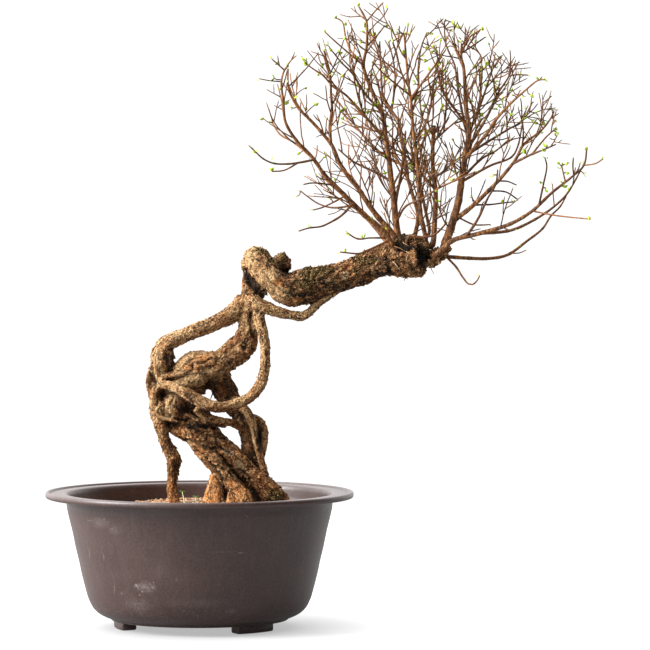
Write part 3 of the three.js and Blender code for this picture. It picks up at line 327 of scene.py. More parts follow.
# Patches on the near side of the wood: across, height, half width, half height, strength
PATCHES = {
    "moss": [
        (108.5, 350, 7, 13, 1.0), (103, 345, 9, 8, 0.6), (120, 355, 12, 5, 0.5), (85.5, 371, 5, 5, 0.6),
        (63, 376, 10, 5, 0.5), (72, 366, 5, 6, 0.4), (74, 316, 12, 3, 0.3), (92, 333, 9, 8, 0.5),
        (90, 309, 12, 3, 0.3), (134, 346, 12, 8, 0.35), (158, 352, 16, 8, 0.3), (166, 366, 14, 5, 0.4),
        (76, 132, 9, 7, 0.8), (98, 318, 10, 4, 0.4),
    ],
    "lichen": [
        (145.5, 352, 4.5, 4.5, 1.8), (128, 347, 4, 4, 0.7), (74, 345, 3, 2, 0.7), (161, 364, 6, 3, 0.7),
        (28, 175, 4.5, 5, 0.9), (40, 162, 8, 6, 0.9), (-4, 305, 4, 4, 0.6), (-24, 293, 5, 4, 0.7),
        (2, 298, 5, 4, 0.6), (-26, 232, 1.8, 1.3, 1.2), (34, 172, 4, 5, 0.6), (135, 347, 2.5, 1.8, 1.2),
        (88, 336, 1.8, 1.8, 1.2),
    ],
    "pale": [
        (50, 368, 6, 12, 0.8), (64, 349, 13, 9, 0.9), (80, 334, 11, 8, 0.9), (95, 352, 5, 5, 0.5),
        (-26, 222, 6, 14, 0.7), (-14, 244, 12, 7, 0.7), (8, 252, 22, 6, 0.8), (211, 372, 6, 8, 0.8),
        (171, 360, 10, 6, 0.6), (78.5, 371.5, 2.5, 2, 1.2),
    ],
    # Dark patches are dark bark, and several also paint shade: in the gaps round the knob and the loop,
    # under the knob along the diagonal's top, and between the right root and its loop.
    "dark": [
        (54, 343, 7, 10, 0.9), (86, 354, 8, 5, 0.7), (124, 342, 12, 8, 0.5), (184, 354, 12, 4, 1.0),
        (205, 386, 11, 9, 1.0), (188, 364, 4, 9, 0.8), (-31, 268, 6, 10, 0.9), (78, 128, 9, 9, 0.9),
        (-11, 234, 4, 4, 0.8), (60.5, 190, 3.5, 16, 1.4), (69.5, 363, 2.5, 4.5, 0.9),
        (61.5, 368.5, 2, 4, 0.9), (83, 363, 7, 6, 0.6), (100, 332, 10, 2.5, 0.6),
        (88, 344, 13, 6, 0.45), (-17.5, 218.5, 10, 9.5, 1.2), (-30, 262, 5, 9, 0.8),
        (14, 216, 14, 5, 0.7), (146, 337, 14, 4, 0.6), (52, 292, 4, 6, 0.7), (-25.5, 155, 7, 13, 0.5),
        (-25.5, 132, 5, 8, 0.35), (-38, 231.5, 3, 6, 1.2), (-27.5, 203, 11, 4, 1.1),
        (0.5, 201.5, 20, 4, 1.1),
    ],
    "orange": [
        (63.5, 360.5, 4, 3.5, 0.7), (77, 346, 5, 5, 0.8), (95, 327, 6, 4, 0.7), (92, 341, 8, 6, 0.4),
        (144, 342, 9, 4, 0.6), (208, 371, 9, 7, 0.6), (3, 269, 10, 5, 0.6), (-12, 260, 7, 5, 0.7),
        (-21, 196, 6, 5, 0.8), (-5, 191, 4, 6, 0.8), (3, 174, 6, 4, 0.8), (42, 136, 9, 10, 1.0),
        (30, 144, 7, 6, 0.6), (22, 304, 12, 6, 0.5), (-28, 138, 4, 14, 0.6), (44.6, 281, 2, 3.5, 1.0),
        (74, 141, 5, 4, 0.7), (-30, 251, 4, 3, 0.6), (14, 134, 9, 12, 0.6),
    ],
}

# Wounds: across, height, half width, half height, depth. Their insides are painted near black as painted
# shade.
WOUNDS = [
    (44.8, 281.5, 3.4, 5.4, 1.4), (58, 315.5, 2, 2, 2), (60.7, 296.5, 2, 1.8, 1.6),
    (224, 371, 7.5, 13, 6.5), (206, 380, 9, 5, 3), (197, 367.8, 4, 1.4, 2.2), (200, 373, 1.8, 1.6, 2),
    (-7, 261.5, 1.6, 2.8, 1.2), (199, 363, 2.6, 2, 1.8), (54.5, 327.5, 1.2, 2, 1.2),
    (144, 352.5, 1.2, 1.4, 0.8), (223, 362, 2.4, 3, 2), (191, 357, 1.6, 2.2, 1.6),
    (186, 371, 2, 1.4, 1.6), (-33, 293, 1.2, 1, 0.8), (24, 296, 1, 1.4, 1),
]

# Grooves and cracks on the near side: width, depth, then (across, height) points along it. Each is carved in
# and painted dark along it as painted shade.
CREASES = [
    (4, 4, [(44.5, 354.5), (48, 348.5), (52, 343.5), (57, 339.5), (62.5, 335.5), (67, 331)]),
    (0.9, 0.9, [(43.5, 369.5), (46.5, 367), (48.5, 363.5)]),
    (0.8, 0.8, [(66.5, 355.5), (68, 349.5), (70.5, 346), (74.5, 343), (78.5, 340), (83.5, 337),
                (88.5, 331.5), (91.5, 327), (93, 321)]),
    (0.8, 0.9, [(76.5, 338), (74.5, 335.5), (73, 331.5)]),
    (0.7, 0.7, [(63, 342.5), (66.5, 345)]),
    (2, 2, [(62.5, 377.5), (66.5, 373.5), (70.5, 369), (74.5, 364.5), (78.5, 360), (82.5, 357.5),
            (88.5, 356.5), (94, 356.5)]),
    (1, 1, [(91.5, 355.5), (94.5, 352.5), (98.5, 348.5)]),
    (1.8, 1.8, [(90.5, 334.5), (94.5, 331.5), (100.5, 330.5), (106.5, 331.5), (109.5, 334.5)]),
    (2.4, 1.6, [(100, 322), (108, 325), (118, 328.5), (128, 333)]),
    (1.6, 2.4, [(50.5, 324.5), (51.5, 315.5), (50.5, 305.5), (52.5, 297.5), (55, 290)]),
    (0.8, 0.8, [(-34.5, 247.5), (-29.5, 248), (-23.5, 247.8), (-19.5, 249.3), (-15.5, 251.5),
                (-11.5, 253), (-8.5, 255.5), (-6.5, 258.5), (-5.5, 261.5), (-2.5, 263), (3.5, 265.5),
                (8.5, 267.5), (12.5, 269.5)]),
    (1, 1.1, [(-18.5, 256.5), (-13.5, 255), (-8.5, 256.5)]),
    (2, 2, [(-27, 186), (-19.5, 186.5), (-9.5, 186.5), (-1.5, 185), (6.5, 181.5), (15.5, 179),
                (22.5, 178), (30, 175)]),
    (2.2, 2, [(13.5, 162.5), (20.5, 159.5), (26.5, 157.5), (32.5, 153.5), (40.5, 147.5),
              (47.5, 141.5), (54.5, 135.5), (58.5, 127.5), (60.5, 118)]),
    (1.6, 1.6, [(22, 147), (23.5, 140), (25, 133), (22.5, 125.5)]),
    (1.2, 1.2, [(38, 288), (41.5, 293), (44, 300), (45, 309)]),
    (1.4, 1.4, [(-30, 212), (-24, 209), (-16, 207.5), (-9, 208.5)]),
    (2, 2.4, [(-50.5, 255), (-46.5, 250), (-44.5, 244.5), (-46, 238)]),
    (2.2, 2.4, [(187, 369), (188.5, 363), (190, 357), (193, 352.5)]),
    (1, 1, [(150, 347), (158, 350.5), (168, 353)]),
    (0.9, 1, [(-15, 293.5), (-12, 290.5), (-9, 287.5)]),
    (1.3, 1.6, [(-2, 176), (6, 171), (12, 163), (20, 153), (26, 146)]),
    (1.4, 1.4, [(31, 175), (38, 169), (46, 163), (54, 158)]),
    (1, 1.2, [(38, 158), (44, 155), (52, 158.5)]),
    (1.5, 1.8, [(-9, 200), (2, 196), (14, 192), (26, 188)]),
]

# The shoots: name, depths at the foot and the tip, radii there, a path of (across, height) points
# seen from the front, and branches. A branch is the depth at its tip, its radii and its path, and
# it springs from the wood nearest its start.
SHOOTS = [
    ("shoot_left_front", (-11, -80), (2.7, 0.9),
     [(193, 383), (184.5, 396), (167, 411), (153.5, 424), (137.5, 440), (124.5, 453.5),
      (112.5, 470.5), (96.5, 487.5), (86, 505.5), (84, 525), (82, 545.5), (85, 557), (89, 561.5)],
     [(-84, (0.9, 0.7), [(85, 557), (72.5, 568)]),
      (-22, (1.1, 0.7), [(188, 388), (170, 389.5), (158, 388.5), (148, 394.5)]),
      (-30, (1.2, 0.7), [(189, 386), (168.5, 377.5), (159.5, 374), (149.5, 374.5), (140.5, 375.5)]),
      (-62, (1.3, 0.7),
       [(153.5, 424), (142, 412), (131.5, 405.5), (121.5, 401), (109.5, 399.5), (99.5, 396.5)]),
      (-52, (1.1, 0.7), [(134, 443), (124.5, 443.5), (112.5, 444.5), (104, 443)]),
      (-74, (1.3, 0.7), [(114, 468), (101, 465), (89, 463.5), (74.5, 464), (64, 468.5), (54, 477.5)]),
      (-60, (0.9, 0.7), [(99, 464), (84.5, 457), (72.5, 456)])]),
    ("shoot_left_back", (12, 66), (2.4, 0.8),
     [(189, 383), (171.5, 405), (159.5, 416.5), (142, 434), (126, 449), (118.5, 463.5),
      (109.5, 472.5), (93.5, 485.5), (80.5, 493), (73, 504.5)],
     [(52, (1.2, 0.7),
       [(153, 423), (140.5, 420), (130.5, 420), (118.5, 424), (108, 431), (101, 436.5)]),
      (24, (1, 0.7), [(146, 430), (131.5, 424), (121.5, 419.5), (113.5, 417.5)])]),
    ("shoot_left_middle", (-3, -30), (3, 0.9),
     [(195, 391), (177, 412), (165.5, 428.5), (158, 440), (148, 452), (139, 466.5), (133, 481),
      (121.5, 495.5), (112.5, 505.5), (98, 520.5), (89, 539.5), (88.5, 558.5)],
     [(-46, (1.8, 0.8),
       [(131.5, 483), (130.5, 503), (132.5, 517.5), (131.5, 533.5), (130.5, 554), (124.5, 576)])]),
    ("shoot_tall", (7, 14), (3.5, 0.9),
     [(199, 388), (196.5, 405), (195, 419.5), (193.5, 434), (191, 452), (189, 471), (186, 490.5),
      (183, 513), (174.5, 532), (168.5, 545.5), (164, 561.5), (167, 580.5), (167.5, 598),
      (167, 605.5), (159.5, 620)],
     [(20, (0.8, 0.7), [(167, 605.5), (174, 614), (183, 624)]),
      (16, (1.5, 0.8), [(191, 446), (177, 454.5), (153.5, 466), (139, 478)]),
      (-12, (1.7, 0.7),
       [(186, 491), (177, 498.5), (168.5, 507.5), (158, 519), (146.5, 532), (133, 541),
        (124.5, 551), (115.5, 557), (107, 563)]),
      (-22, (1.4, 0.7),
       [(181, 517), (165.5, 533.5), (152.5, 554), (142, 564.5), (131.5, 577.5)]),
      (-2, (1.1, 0.7), [(164, 563), (145, 577.5), (133, 588), (126, 594.5)]),
      (26, (1.1, 0.7), [(165, 565), (152.5, 574.5), (146.5, 588), (142.5, 605.5), (136, 609)]),
      (24, (0.9, 0.7), [(167, 581), (177, 591), (184.5, 600.5)]),
      (14, (1.7, 1), [(194.5, 419), (198, 436), (202, 456), (204, 476), (206, 496)]),
      (2, (1.2, 0.7), [(174, 501), (166, 511), (160, 525), (156.5, 539), (152.5, 561)]),
      (-86, (1.2, 0.8),
       [(196.5, 405), (206, 421), (221.5, 428.5), (240.5, 440), (259.5, 448.5), (275, 455.5)])]),
    ("shoot_tall_back", (10, 66), (2.2, 0.9),
     [(215, 390), (218.5, 412), (212.5, 434), (206.5, 456), (205, 471), (200.5, 492),
      (199, 505.5), (190.5, 519), (183, 533.5), (181.5, 554), (180, 583.5)],
     [(78, (1.6, 0.7),
       [(205.5, 462), (184.5, 472), (171.5, 483.5), (159.5, 497), (148, 513), (133, 533.5)]),
      (44, (1.2, 0.7), [(192, 517), (195.5, 545.5), (194, 564.5), (189, 585)])]),
    ("shoot_middle_front", (-7, -42), (2.5, 0.9),
     [(226, 387), (221, 413.5), (219.5, 434), (218.5, 456), (216, 478), (213, 503), (211.5, 525),
      (208.5, 545.5), (206.5, 569), (204.5, 592.5)],
     [(-58, (1.3, 0.7), [(211, 530), (225.5, 548.5), (236, 563), (246, 577.5)]),
      (-26, (1.1, 0.7), [(211, 524), (218.5, 540), (218.5, 558), (221.5, 580), (226.5, 593)]),
      (-62, (1.2, 0.7), [(208.5, 531), (194, 545), (183, 554.5), (172.5, 565.5)]),
      (-36, (1, 0.7), [(208.5, 538), (201.5, 555), (196, 575), (193, 584.5)]),
      (-14, (1.2, 0.7), [(214.5, 488), (225.5, 503), (231.5, 525), (228.5, 548.5)])]),
    ("shoot_middle_cut", (5, 18), (2.9, 1.8),
     [(233, 383), (235, 405), (236, 434), (233.5, 456), (233, 478), (234.5, 501.5)],
     [(40, (1.2, 0.7), [(233.5, 484), (246.5, 497.5), (258.5, 508)]),
      (46, (1, 0.7), [(238, 488.5), (244.5, 504), (246.5, 527), (245.5, 554)]),
      (-20, (1.3, 0.8),
       [(234, 437), (229, 445.5), (219, 457), (206, 472), (192, 480), (184, 489)]),
      (26, (1, 0.7), [(234, 447), (244.5, 457), (252.5, 465), (260, 479)]),
      (-4, (1.1, 0.7), [(233, 490), (228, 508), (232, 527), (236.5, 540)])]),
    ("shoot_right", (-3, -12), (4.4, 1.2),
     [(246, 385), (249, 393), (255, 412), (259, 427), (262, 449), (265.5, 471.5),
      (269.5, 495.5), (266.5, 517.5), (265, 545.5), (263.5, 561.5), (261.5, 569), (262, 583.5)],
     [(22, (1.5, 0.7),
       [(268, 489), (260.5, 525), (257, 547), (255, 561.5), (246, 583.5), (244.5, 605.5)]),
      (-26, (1, 0.7), [(262, 573), (269.5, 589.5), (281, 597.5)]),
      (4, (0.9, 0.7), [(262, 575), (274, 582), (285.5, 590)]),
      (-56, (2, 0.7),
       [(265, 469), (288.5, 495.5), (294.5, 505.5), (309, 522), (325, 536.5), (338.5, 547),
        (345.5, 547.5)]),
      (6, (1.4, 0.7), [(269.5, 494), (277, 513), (284, 532), (288.5, 545.5), (293, 558.5), (300, 569)]),
      (38, (1.4, 0.7), [(268.5, 490), (279.5, 525), (281, 548.5), (280.5, 572), (274, 578.5)]),
      (-34, (1.7, 0.7), [(266.5, 475), (288.5, 513), (296, 530.5), (309, 551), (313.5, 563)]),
      (-40, (0.8, 0.7), [(309, 550), (318, 552.5), (328, 552)]),
      (50, (1.6, 0.7),
       [(265, 470), (294.5, 489.5), (312, 500), (321, 504.5), (328, 516), (332.5, 525)]),
      (-24, (2.5, 0.8),
       [(253.5, 405), (274, 422.5), (288.5, 436.5), (303, 451.5), (316.5, 469), (323.5, 482.5),
        (341.5, 497), (351.5, 510), (354, 516)]),
      (-34, (1, 0.7), [(322, 480), (323.5, 494), (322.5, 507.5)]),
      (26, (1.5, 0.7), [(262.5, 449), (282.5, 469), (296, 476.5), (309, 488)]),
      (0, (1.5, 0.7), [(262, 447), (290, 461.5), (312, 470.5), (318, 481), (322.5, 503)]),
      (-50, (1.5, 0.7), [(313, 464), (329.5, 472), (344.5, 478), (356, 483)]),
      (-30, (1, 0.7), [(331, 472.5), (347, 491), (354.5, 497.5)]),
      (24, (1.1, 0.7), [(255, 412), (274, 403), (282.5, 402.5), (290.5, 403)]),
      (18, (1.1, 0.7), [(274, 422), (291.5, 423), (303, 424.5), (313.5, 425.5)]),
      (10, (1, 0.7), [(288, 437), (306, 435.5), (318, 428)]),
      (12, (0.9, 0.7), [(299, 448), (308, 446), (316.5, 442.5)]),
      (-8, (1.5, 0.8), [(268, 498), (258, 514), (246.5, 531), (241, 542.5), (237, 565)]),
      (-26, (0.9, 0.7), [(251, 398), (246, 404), (241, 415), (237.5, 426)])]),
    ("shoot_right_low", (-12, -50), (2.7, 0.8),
     [(236, 373), (244, 379.5), (253, 387), (279.5, 394), (310.5, 403.5), (332.5, 416.5),
      (353, 435.5), (372, 450.5), (384, 462), (387, 479.5)],
     [(-64, (0.8, 0.7), [(384, 462), (396, 464), (403, 468.5)]),
      (-4, (1.9, 0.7),
       [(279, 394), (310.5, 397), (332.5, 406.5), (354.5, 421), (367.5, 434), (376.5, 449),
        (384, 463.5)]),
      (-84, (1, 0.7), [(331, 415.5), (356, 412), (388.5, 408.5)]),
      (-62, (1.5, 0.7), [(266, 389.5), (278, 408), (288.5, 430), (296, 443), (298, 457.5)]),
      (-60, (1.1, 0.7), [(338, 421), (343.5, 442.5), (347, 461.5), (345, 470)]),
      (-40, (0.9, 0.7), [(366, 446), (363.5, 454), (362, 461.5)]),
      (-58, (0.9, 0.7), [(373, 452), (373, 461), (373.5, 469)])]),
    ("shoot_right_under", (2, 62), (2.1, 0.8),
     [(243, 371), (266.5, 369.5), (288.5, 369), (307.5, 372.5), (328, 387), (343, 399),
      (351.5, 412), (360.5, 421), (367.5, 434)],
     [(-16, (1.3, 0.7),
       [(248, 371), (257, 360), (263, 350.5), (269, 343.5), (273, 343), (278, 347.5),
        (280, 351.5)])]),
    ("shoot_slanting", (14, 34), (1.9, 0.9),
     [(222, 386), (229.5, 394), (227.5, 409.5), (225, 421), (220.5, 444), (214.5, 458), (212, 480)],
     []),
    ("shoot_crossing", (-15, -24), (1.5, 0.9),
     [(207, 386), (210, 392), (216, 391), (225, 390.5), (234, 392.5), (241, 398), (247, 405)],
     []),
]

# Side growth that the solids have too, placed by a seeded rule
GROWTH_SEED = 41
GROWTH_START = 26
GROWTH_STEP = 15
TWIG_CHANCE = 0.13
LEAF_CHANCE = 0.5
TWIG_LENGTH = (11, 24)
TWIG_RADIUS = 0.75
LEAF_LENGTH = (4.2, 7)
GROWTH_CLEARANCE = 3

# Finer growth that the solids don't have
FINE_SEED = 907
FINE_STEP = (9, 16)
FIRST_ON_STEMS = 16.0
FIRST_ON_BRANCHES = 7.0
LOW_TWIG_TOP = 430
LOW_TWIG_STRETCH = 1.4
SPIRAL_TURN = 2.4
FINE_LENGTH = (15, 50)
FAN_HEART = (216, 372)
FAN_FULL_LEFT = 34
FAN_FULL_RIGHT = 26
FAN_FADE = 28
CROWN_THINS_AT = 500
LEAVES_BEGIN_AT = 430
BUD_SPACING = 7
CLUSTER_REACH = 3
GIRTH_UNIT = 5

# Below which height the wood is bare, and how much grows there all the same
BARE_LEFT_OF = 155
BARE_AT_LEFT = (440, 0.1)
BARE_ON_STEMS = (385, 0.65)
BARE_ON_BRANCHES = (385, 0.2)

# The larger clusters of young leaves, as they show from the front: across, height, and how many
# leaves where it isn't the usual number
USUAL_LEAVES = 2
LEAF_CLUSTERS = [
    (159, 621.5, 3), (172, 615.5, 1), (135.5, 609, 1), (146, 602), (169, 597.5, 3), (185.5, 600.5, 3),
    (198.5, 598), (174.5, 592), (197.5, 593.5, 3), (209, 593), (231, 593, 3), (161.5, 584.5),
    (127.5, 582, 3), (131, 576.5), (139.5, 575), (226.5, 579.5, 4), (233.5, 576.5), (106, 567, 3),
    (106, 562), (75.5, 563.5, 1), (123.5, 563, 3), (60, 548.5, 1), (74, 549.5), (119, 552),
    (134.5, 554.5), (143.5, 551.5), (141, 564), (183.5, 564.5, 3), (173.5, 553), (176.5, 548),
    (185, 556.5), (187, 548.5), (224.5, 567), (230, 557), (215, 544), (167.5, 531), (156.5, 524, 3),
    (161.5, 517.5, 3), (177, 522), (145.5, 519), (116, 523, 3), (143.5, 509), (85.5, 523.5),
    (92, 519.5), (63.5, 509), (204.5, 536.5), (209, 532.5), (215.5, 528), (230, 536), (225.5, 521.5, 4),
    (224, 516), (214.5, 512), (180, 507.5), (188.5, 501), (252.5, 604.5, 3), (257, 600.5, 3),
    (252, 597), (271, 594), (282, 597, 4), (245.5, 588.5), (260.5, 585.5, 4), (253.5, 580.5, 3),
    (232.5, 580.5), (252, 572), (276, 584.5), (249, 564), (239.5, 563), (246.5, 555.5), (276, 560.5),
    (288.5, 562.5), (296.5, 559.5, 3), (284.5, 557.5), (281, 548), (275.5, 551), (285.5, 541.5, 3),
    (295.5, 544.5), (296.5, 539), (312.5, 538, 3), (313, 532), (324, 530.5), (319.5, 551.5, 1),
    (339, 548), (346, 547.5), (331, 532), (302, 527.5), (305.5, 527), (310.5, 513), (336.5, 514.5),
    (332.5, 507), (337, 504), (343.5, 502.5, 3), (354.5, 506.5), (355, 498), (324, 510.5), (295, 518),
    (299, 522), (280.5, 513), (270.5, 525.5, 4), (259.5, 540.5), (247, 543.5), (235.5, 543.5),
    (236, 532), (242.5, 517.5), (55.5, 475), (72, 457, 3), (72, 468, 1), (100.5, 474.5, 1),
    (124.5, 470.5), (131, 428.5, 3), (97, 431, 1), (110, 400.5), (148.5, 394), (164, 390.5, 4),
    (146, 375.5), (172, 408.5, 3), (180.5, 408.5), (172.5, 426), (184.5, 454.5), (216.5, 479, 3),
    (210, 463.5), (212, 458.5), (230, 446), (222, 491), (230.5, 494.5), (227, 496), (185, 396.5),
    (253.5, 487.5), (253.5, 456.5, 3), (252, 447.5, 3), (237.5, 447), (272, 431), (239.5, 426.5),
    (294, 452.5), (292.5, 475), (325, 474.5), (341, 495.5), (345.5, 481, 3), (344.5, 476.5),
    (356, 494.5), (347.5, 469.5, 1), (359.5, 464), (360, 459.5), (366, 463, 3), (366.5, 454.5),
    (386.5, 478, 3), (384.5, 453.5), (363.5, 441, 3), (362.5, 445.5), (369, 437.5), (341, 444.5),
    (346, 438.5), (389, 408.5), (302.5, 425), (313, 425.5),
]

# Outline of the crown as seen from the front, which no fine twig leaves
CROWN_TOP = 627
CROWN_OUTLINE = [
    (138, 368), (100, 390), (94, 398), (66, 452), (48, 470), (50, 482), (66, 520), (62, 552),
    (70, 574), (104, 574), (120, 584), (134, 608), (156, 624), (186, 626), (194, 600), (218, 602),
    (244, 610), (288, 600), (316, 572), (346, 552), (358, 520), (362, 490), (386, 482), (396, 469),
    (388, 408), (346, 396), (284, 352), (262, 344), (236, 380), (190, 376),
]

# Loose bark, moss and fibres on the wood
FLAKE_SEED = 311
FLAKE_COUNT = 3400
FLAKE_LENGTH = (1.8, 4.6)
MOSS_SEED = 59
MOSS_COUNT = 1500
MOSS_SIZE = (0.8, 2.2)
FIBRE_SEED = 83

# Fibres: where, how many, length, thickness
FIBRES = [("fibre", 150, (4, 11), 0.38), ("flake", 260, (2, 5), 0.26), ("thread", 160, (1.5, 4), 0.24)]

# Rootlets and bits of stick: tone, thickness, then (across, depth, height) points along each one
ROOTLETS = [
    (0.15, 0.5, [(208.5, -10, 356), (206.5, -12, 351), (204.5, -12, 346.5)]),
    (0.1, 0.5, [(231, -3, 361), (232.5, -4, 357), (234.8, -4, 353)]),
    (0.1, 0.45, [(-46, -6, 224.5), (-49, -7, 222), (-51.5, -7, 218)]),
    (0.0, 0.9, [(15, 2, 240), (13, 1, 234), (11, 0, 228)]),
    (0.0, 0.8, [(15.5, 4, 229), (14.5, 4, 232.5), (13.8, 4, 236)]),
    (0.9, 0.55, [(193, -19, 366), (196, -20.5, 363.5), (198, -20.5, 360.5), (200.5, -20, 357.5)]),
    (0.8, 0.5, [(203.5, -19, 385), (206.5, -20, 383), (209.5, -20, 381.5)]),
    (0.6, 0.5, [(195, -18, 381), (201, -20, 379), (206, -20, 376), (211, -19, 375.5)]),
    (0.4, 0.6, [(57, -10, 250.5), (56.8, -12, 250.5), (58, -13, 250)]),
    (0.3, 0.55, [(243, -4, 383), (246, -5, 386), (250, -5, 387)]),
]

# Weed seedlings: name, foot (across, depth), height, lean, leaf length
SEEDLINGS = [
    ("seedling_tall", (-14.5, -22), 14, (-2.2, 0.6), 3.6),
    ("seedling_short", (-2.8, -16), 7.5, (-0.6, -0.8), 3.4),
]
SEEDLING_ROOT = 5


def settle(piece, finish, slot, *nodes):
    """Takes a finished piece into the row frame and hangs it on the object's body."""
    piece.data.transform(Matrix.Translation((AXIS_X, 0, 0)) @ Matrix.Scale(MM, 4))
    piece.data.materials.clear()
    piece.data.materials.append(finish)
    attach(piece, "root")
    if nodes:
        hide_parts(*nodes)


def pick(piece):
    """Leaves this piece alone selected and active."""
    for other in bpy.context.view_layer.objects:
        other.select_set(False)
    piece.select_set(True)
    bpy.context.view_layer.objects.active = piece


def join_to(piece, others):
    """Makes other pieces part of this one."""
    pick(piece)
    for other in others:
        other.select_set(True)
    bpy.ops.object.join()


def shape_with(piece, kind, **settings):
    """Adds a modifier to a piece and applies it."""
    pick(piece)
    modifier = piece.modifiers.new(kind.title(), kind)
    for name, value in settings.items():
        setattr(modifier, name, value)
    bpy.ops.object.modifier_apply(modifier=modifier.name)


def piece_from(name, shape):
    """A new piece from built-up geometry."""
    mesh = bpy.data.meshes.new(name)
    shape.to_mesh(mesh)
    shape.free()
    piece = bpy.data.objects.new(name, mesh)
    bpy.context.collection.objects.link(piece)
    return piece


def smooth(piece, angle=None):
    """Smooth shading, with edges sharper than the angle left crisp."""
    pick(piece)
    if angle is None:
        bpy.ops.object.shade_smooth()
    else:
        bpy.ops.object.shade_smooth_by_angle(angle=math.radians(angle))


def sighted(across, height, depth):
    """A point on a line of sight from the eye, at the given depth."""
    reach = (EYE_DISTANCE + depth) / EYE_DISTANCE
    return Vector((
        EYE_SIDE + (across - EYE_SIDE) * reach,
        depth,
        EYE_HEIGHT + (height - EYE_HEIGHT) * reach,
    ))


def seen_at(x, y, z):
    """Where a point is seen from the front: across and height."""
    reach = (EYE_DISTANCE + y) / EYE_DISTANCE
    return EYE_SIDE + (x - EYE_SIDE) / reach, EYE_HEIGHT + (z - EYE_HEIGHT) / reach


def seeded_draw(seed):
    """A function that draws numbers between 0 and 1, the same ones on every run."""
    state = [seed]

    def draw():
        state[0] = (state[0] * 1664525 + 1013904223) % 4294967296
        return state[0] / 4294967296

    return draw


def between(limits, share):
    return limits[0] + (limits[1] - limits[0]) * share


def clamped(value, low=0, high=1):
    return min(max(value, low), high)


# Limbs: smooth lines with a ring at each step


class Ring:
    """One cross-section of a limb: its centre, its radius and its own directions."""

    def __init__(self, centre, radius):
        self.centre = centre
        self.radius = radius
        self.along = 0.0
        self.tangent = None
        self.side = None
        self.other = None


def point_on(points, position):
    """A point of the smooth line through some points."""
    last = len(points) - 1
    index = min(int(position), last - 1)
    share = position - index
    here, there = points[index], points[index + 1]
    before = points[index - 1] if index > 0 else here * 2 - there
    after = points[index + 2] if index + 2 <= last else there * 2 - here
    near = max(math.sqrt((here - before).length), 1e-4)
    middle = max(math.sqrt((there - here).length), 1e-4)
    far = max(math.sqrt((after - there).length), 1e-4)
    start = ((here - before) / near - (there - before) / (near + middle)
             + (there - here) / middle) * middle
    end = ((there - here) / middle - (after - here) / (middle + far)
           + (after - there) / far) * middle
    step = there - here
    return (here + start * share + (3 * step - 2 * start - end) * share ** 2
            + (start + end - 2 * step) * share ** 3)


def limb_rings(points, radii, step):
    """Rings along a smooth line through some points, about a step apart."""
    last = len(points) - 1
    rings = []
    for i in range(last):
        parts = max(1, int((points[i + 1] - points[i]).length / step + 0.5))
        for j in range(parts):
            share = j / parts
            rings.append(Ring(point_on(points, i + share), between((radii[i], radii[i + 1]), share)))
    rings.append(Ring(points[last].copy(), radii[last]))
    return rings


def directed(rings):
    """Gives each ring its directions, without twisting from one ring to the next."""
    last = len(rings) - 1
    for i, ring in enumerate(rings):
        ahead = rings[min(i + 1, last)].centre
        behind = rings[max(i - 1, 0)].centre
        ring.tangent = (ahead - behind).normalized()
    side = Vector((0.31, 0.87, 0.38)).cross(rings[0].tangent).normalized()
    for i, ring in enumerate(rings):
        if i > 0:
            side = rings[i - 1].tangent.rotation_difference(ring.tangent) @ side
            side.normalize()
            ring.along = rings[i - 1].along + (ring.centre - rings[i - 1].centre).length
        ring.side = side.copy()
        ring.other = ring.tangent.cross(side)
    return rings


def rows_rings(rows, step):
    """Rings along a limb given as rows of its table."""
    points = [sighted(across, height, depth) for across, depth, height, _ in rows]
    return limb_rings(points, [row[3] for row in rows], step)


def add_tube(shape, rings, sides, lobes=0.0, phase=0.0):
    """A closed tube through directed rings, its cross-section lobed by a wave that drifts along."""
    loops = []
    for ring in rings:
        loop = []
        for k in range(sides):
            angle = k / sides * math.tau
            wave = (math.sin(2 * angle + phase + ring.along * 0.045)
                    + 0.6 * math.sin(3 * angle - 1.7 * phase - ring.along * 0.07))
            radius = ring.radius * (1 + lobes * wave)
            loop.append(shape.verts.new(
                ring.centre + ring.side * (math.cos(angle) * radius)
                + ring.other * (math.sin(angle) * radius)))
        loops.append(loop)
    for lower, upper in zip(loops, loops[1:]):
        for k in range(sides):
            after = (k + 1) % sides
            shape.faces.new((lower[k], lower[after], upper[after], upper[k]))
    tail = shape.verts.new(rings[0].centre - rings[0].tangent * (rings[0].radius * 0.4))
    tip = shape.verts.new(rings[-1].centre + rings[-1].tangent * (rings[-1].radius * 0.4))
    for k in range(sides):
        after = (k + 1) % sides
        shape.faces.new((tail, loops[0][after], loops[0][k]))
        shape.faces.new((tip, loops[-1][k], loops[-1][after]))
    return sides * len(rings) + 2


# Node recipes for the finishes


def colour(red, green, blue):
    """A colour given as it looks on screen, from 0 to 255."""
    def linear(value):
        value /= 255
        return value / 12.92 if value <= 0.04045 else ((value + 0.055) / 1.055) ** 2.4
    return (linear(red), linear(green), linear(blue), 1.0)


class Nodes:
    """A node tree, put together step by step."""

    def __init__(self, tree):
        self.tree = tree

    def node(self, kind, inputs=(), **settings):
        made = self.tree.nodes.new("ShaderNode" + kind)
        for name, value in settings.items():
            setattr(made, name, value)
        for name, value in dict(inputs).items():
            self.feed(made.inputs[name], value)
        return made

    def feed(self, socket, value):
        if isinstance(value, bpy.types.NodeSocket):
            self.tree.links.new(value, socket)
        else:
            socket.default_value = value

    def math(self, operation, first, second, clamp=False):
        made = self.node("Math", operation=operation, use_clamp=clamp)
        self.feed(made.inputs[0], first)
        self.feed(made.inputs[1], second)
        return made.outputs["Value"]

    def plus(self, first, second, clamp=False):
        return self.math("ADD", first, second, clamp)

    def times(self, first, second):
        return self.math("MULTIPLY", first, second)


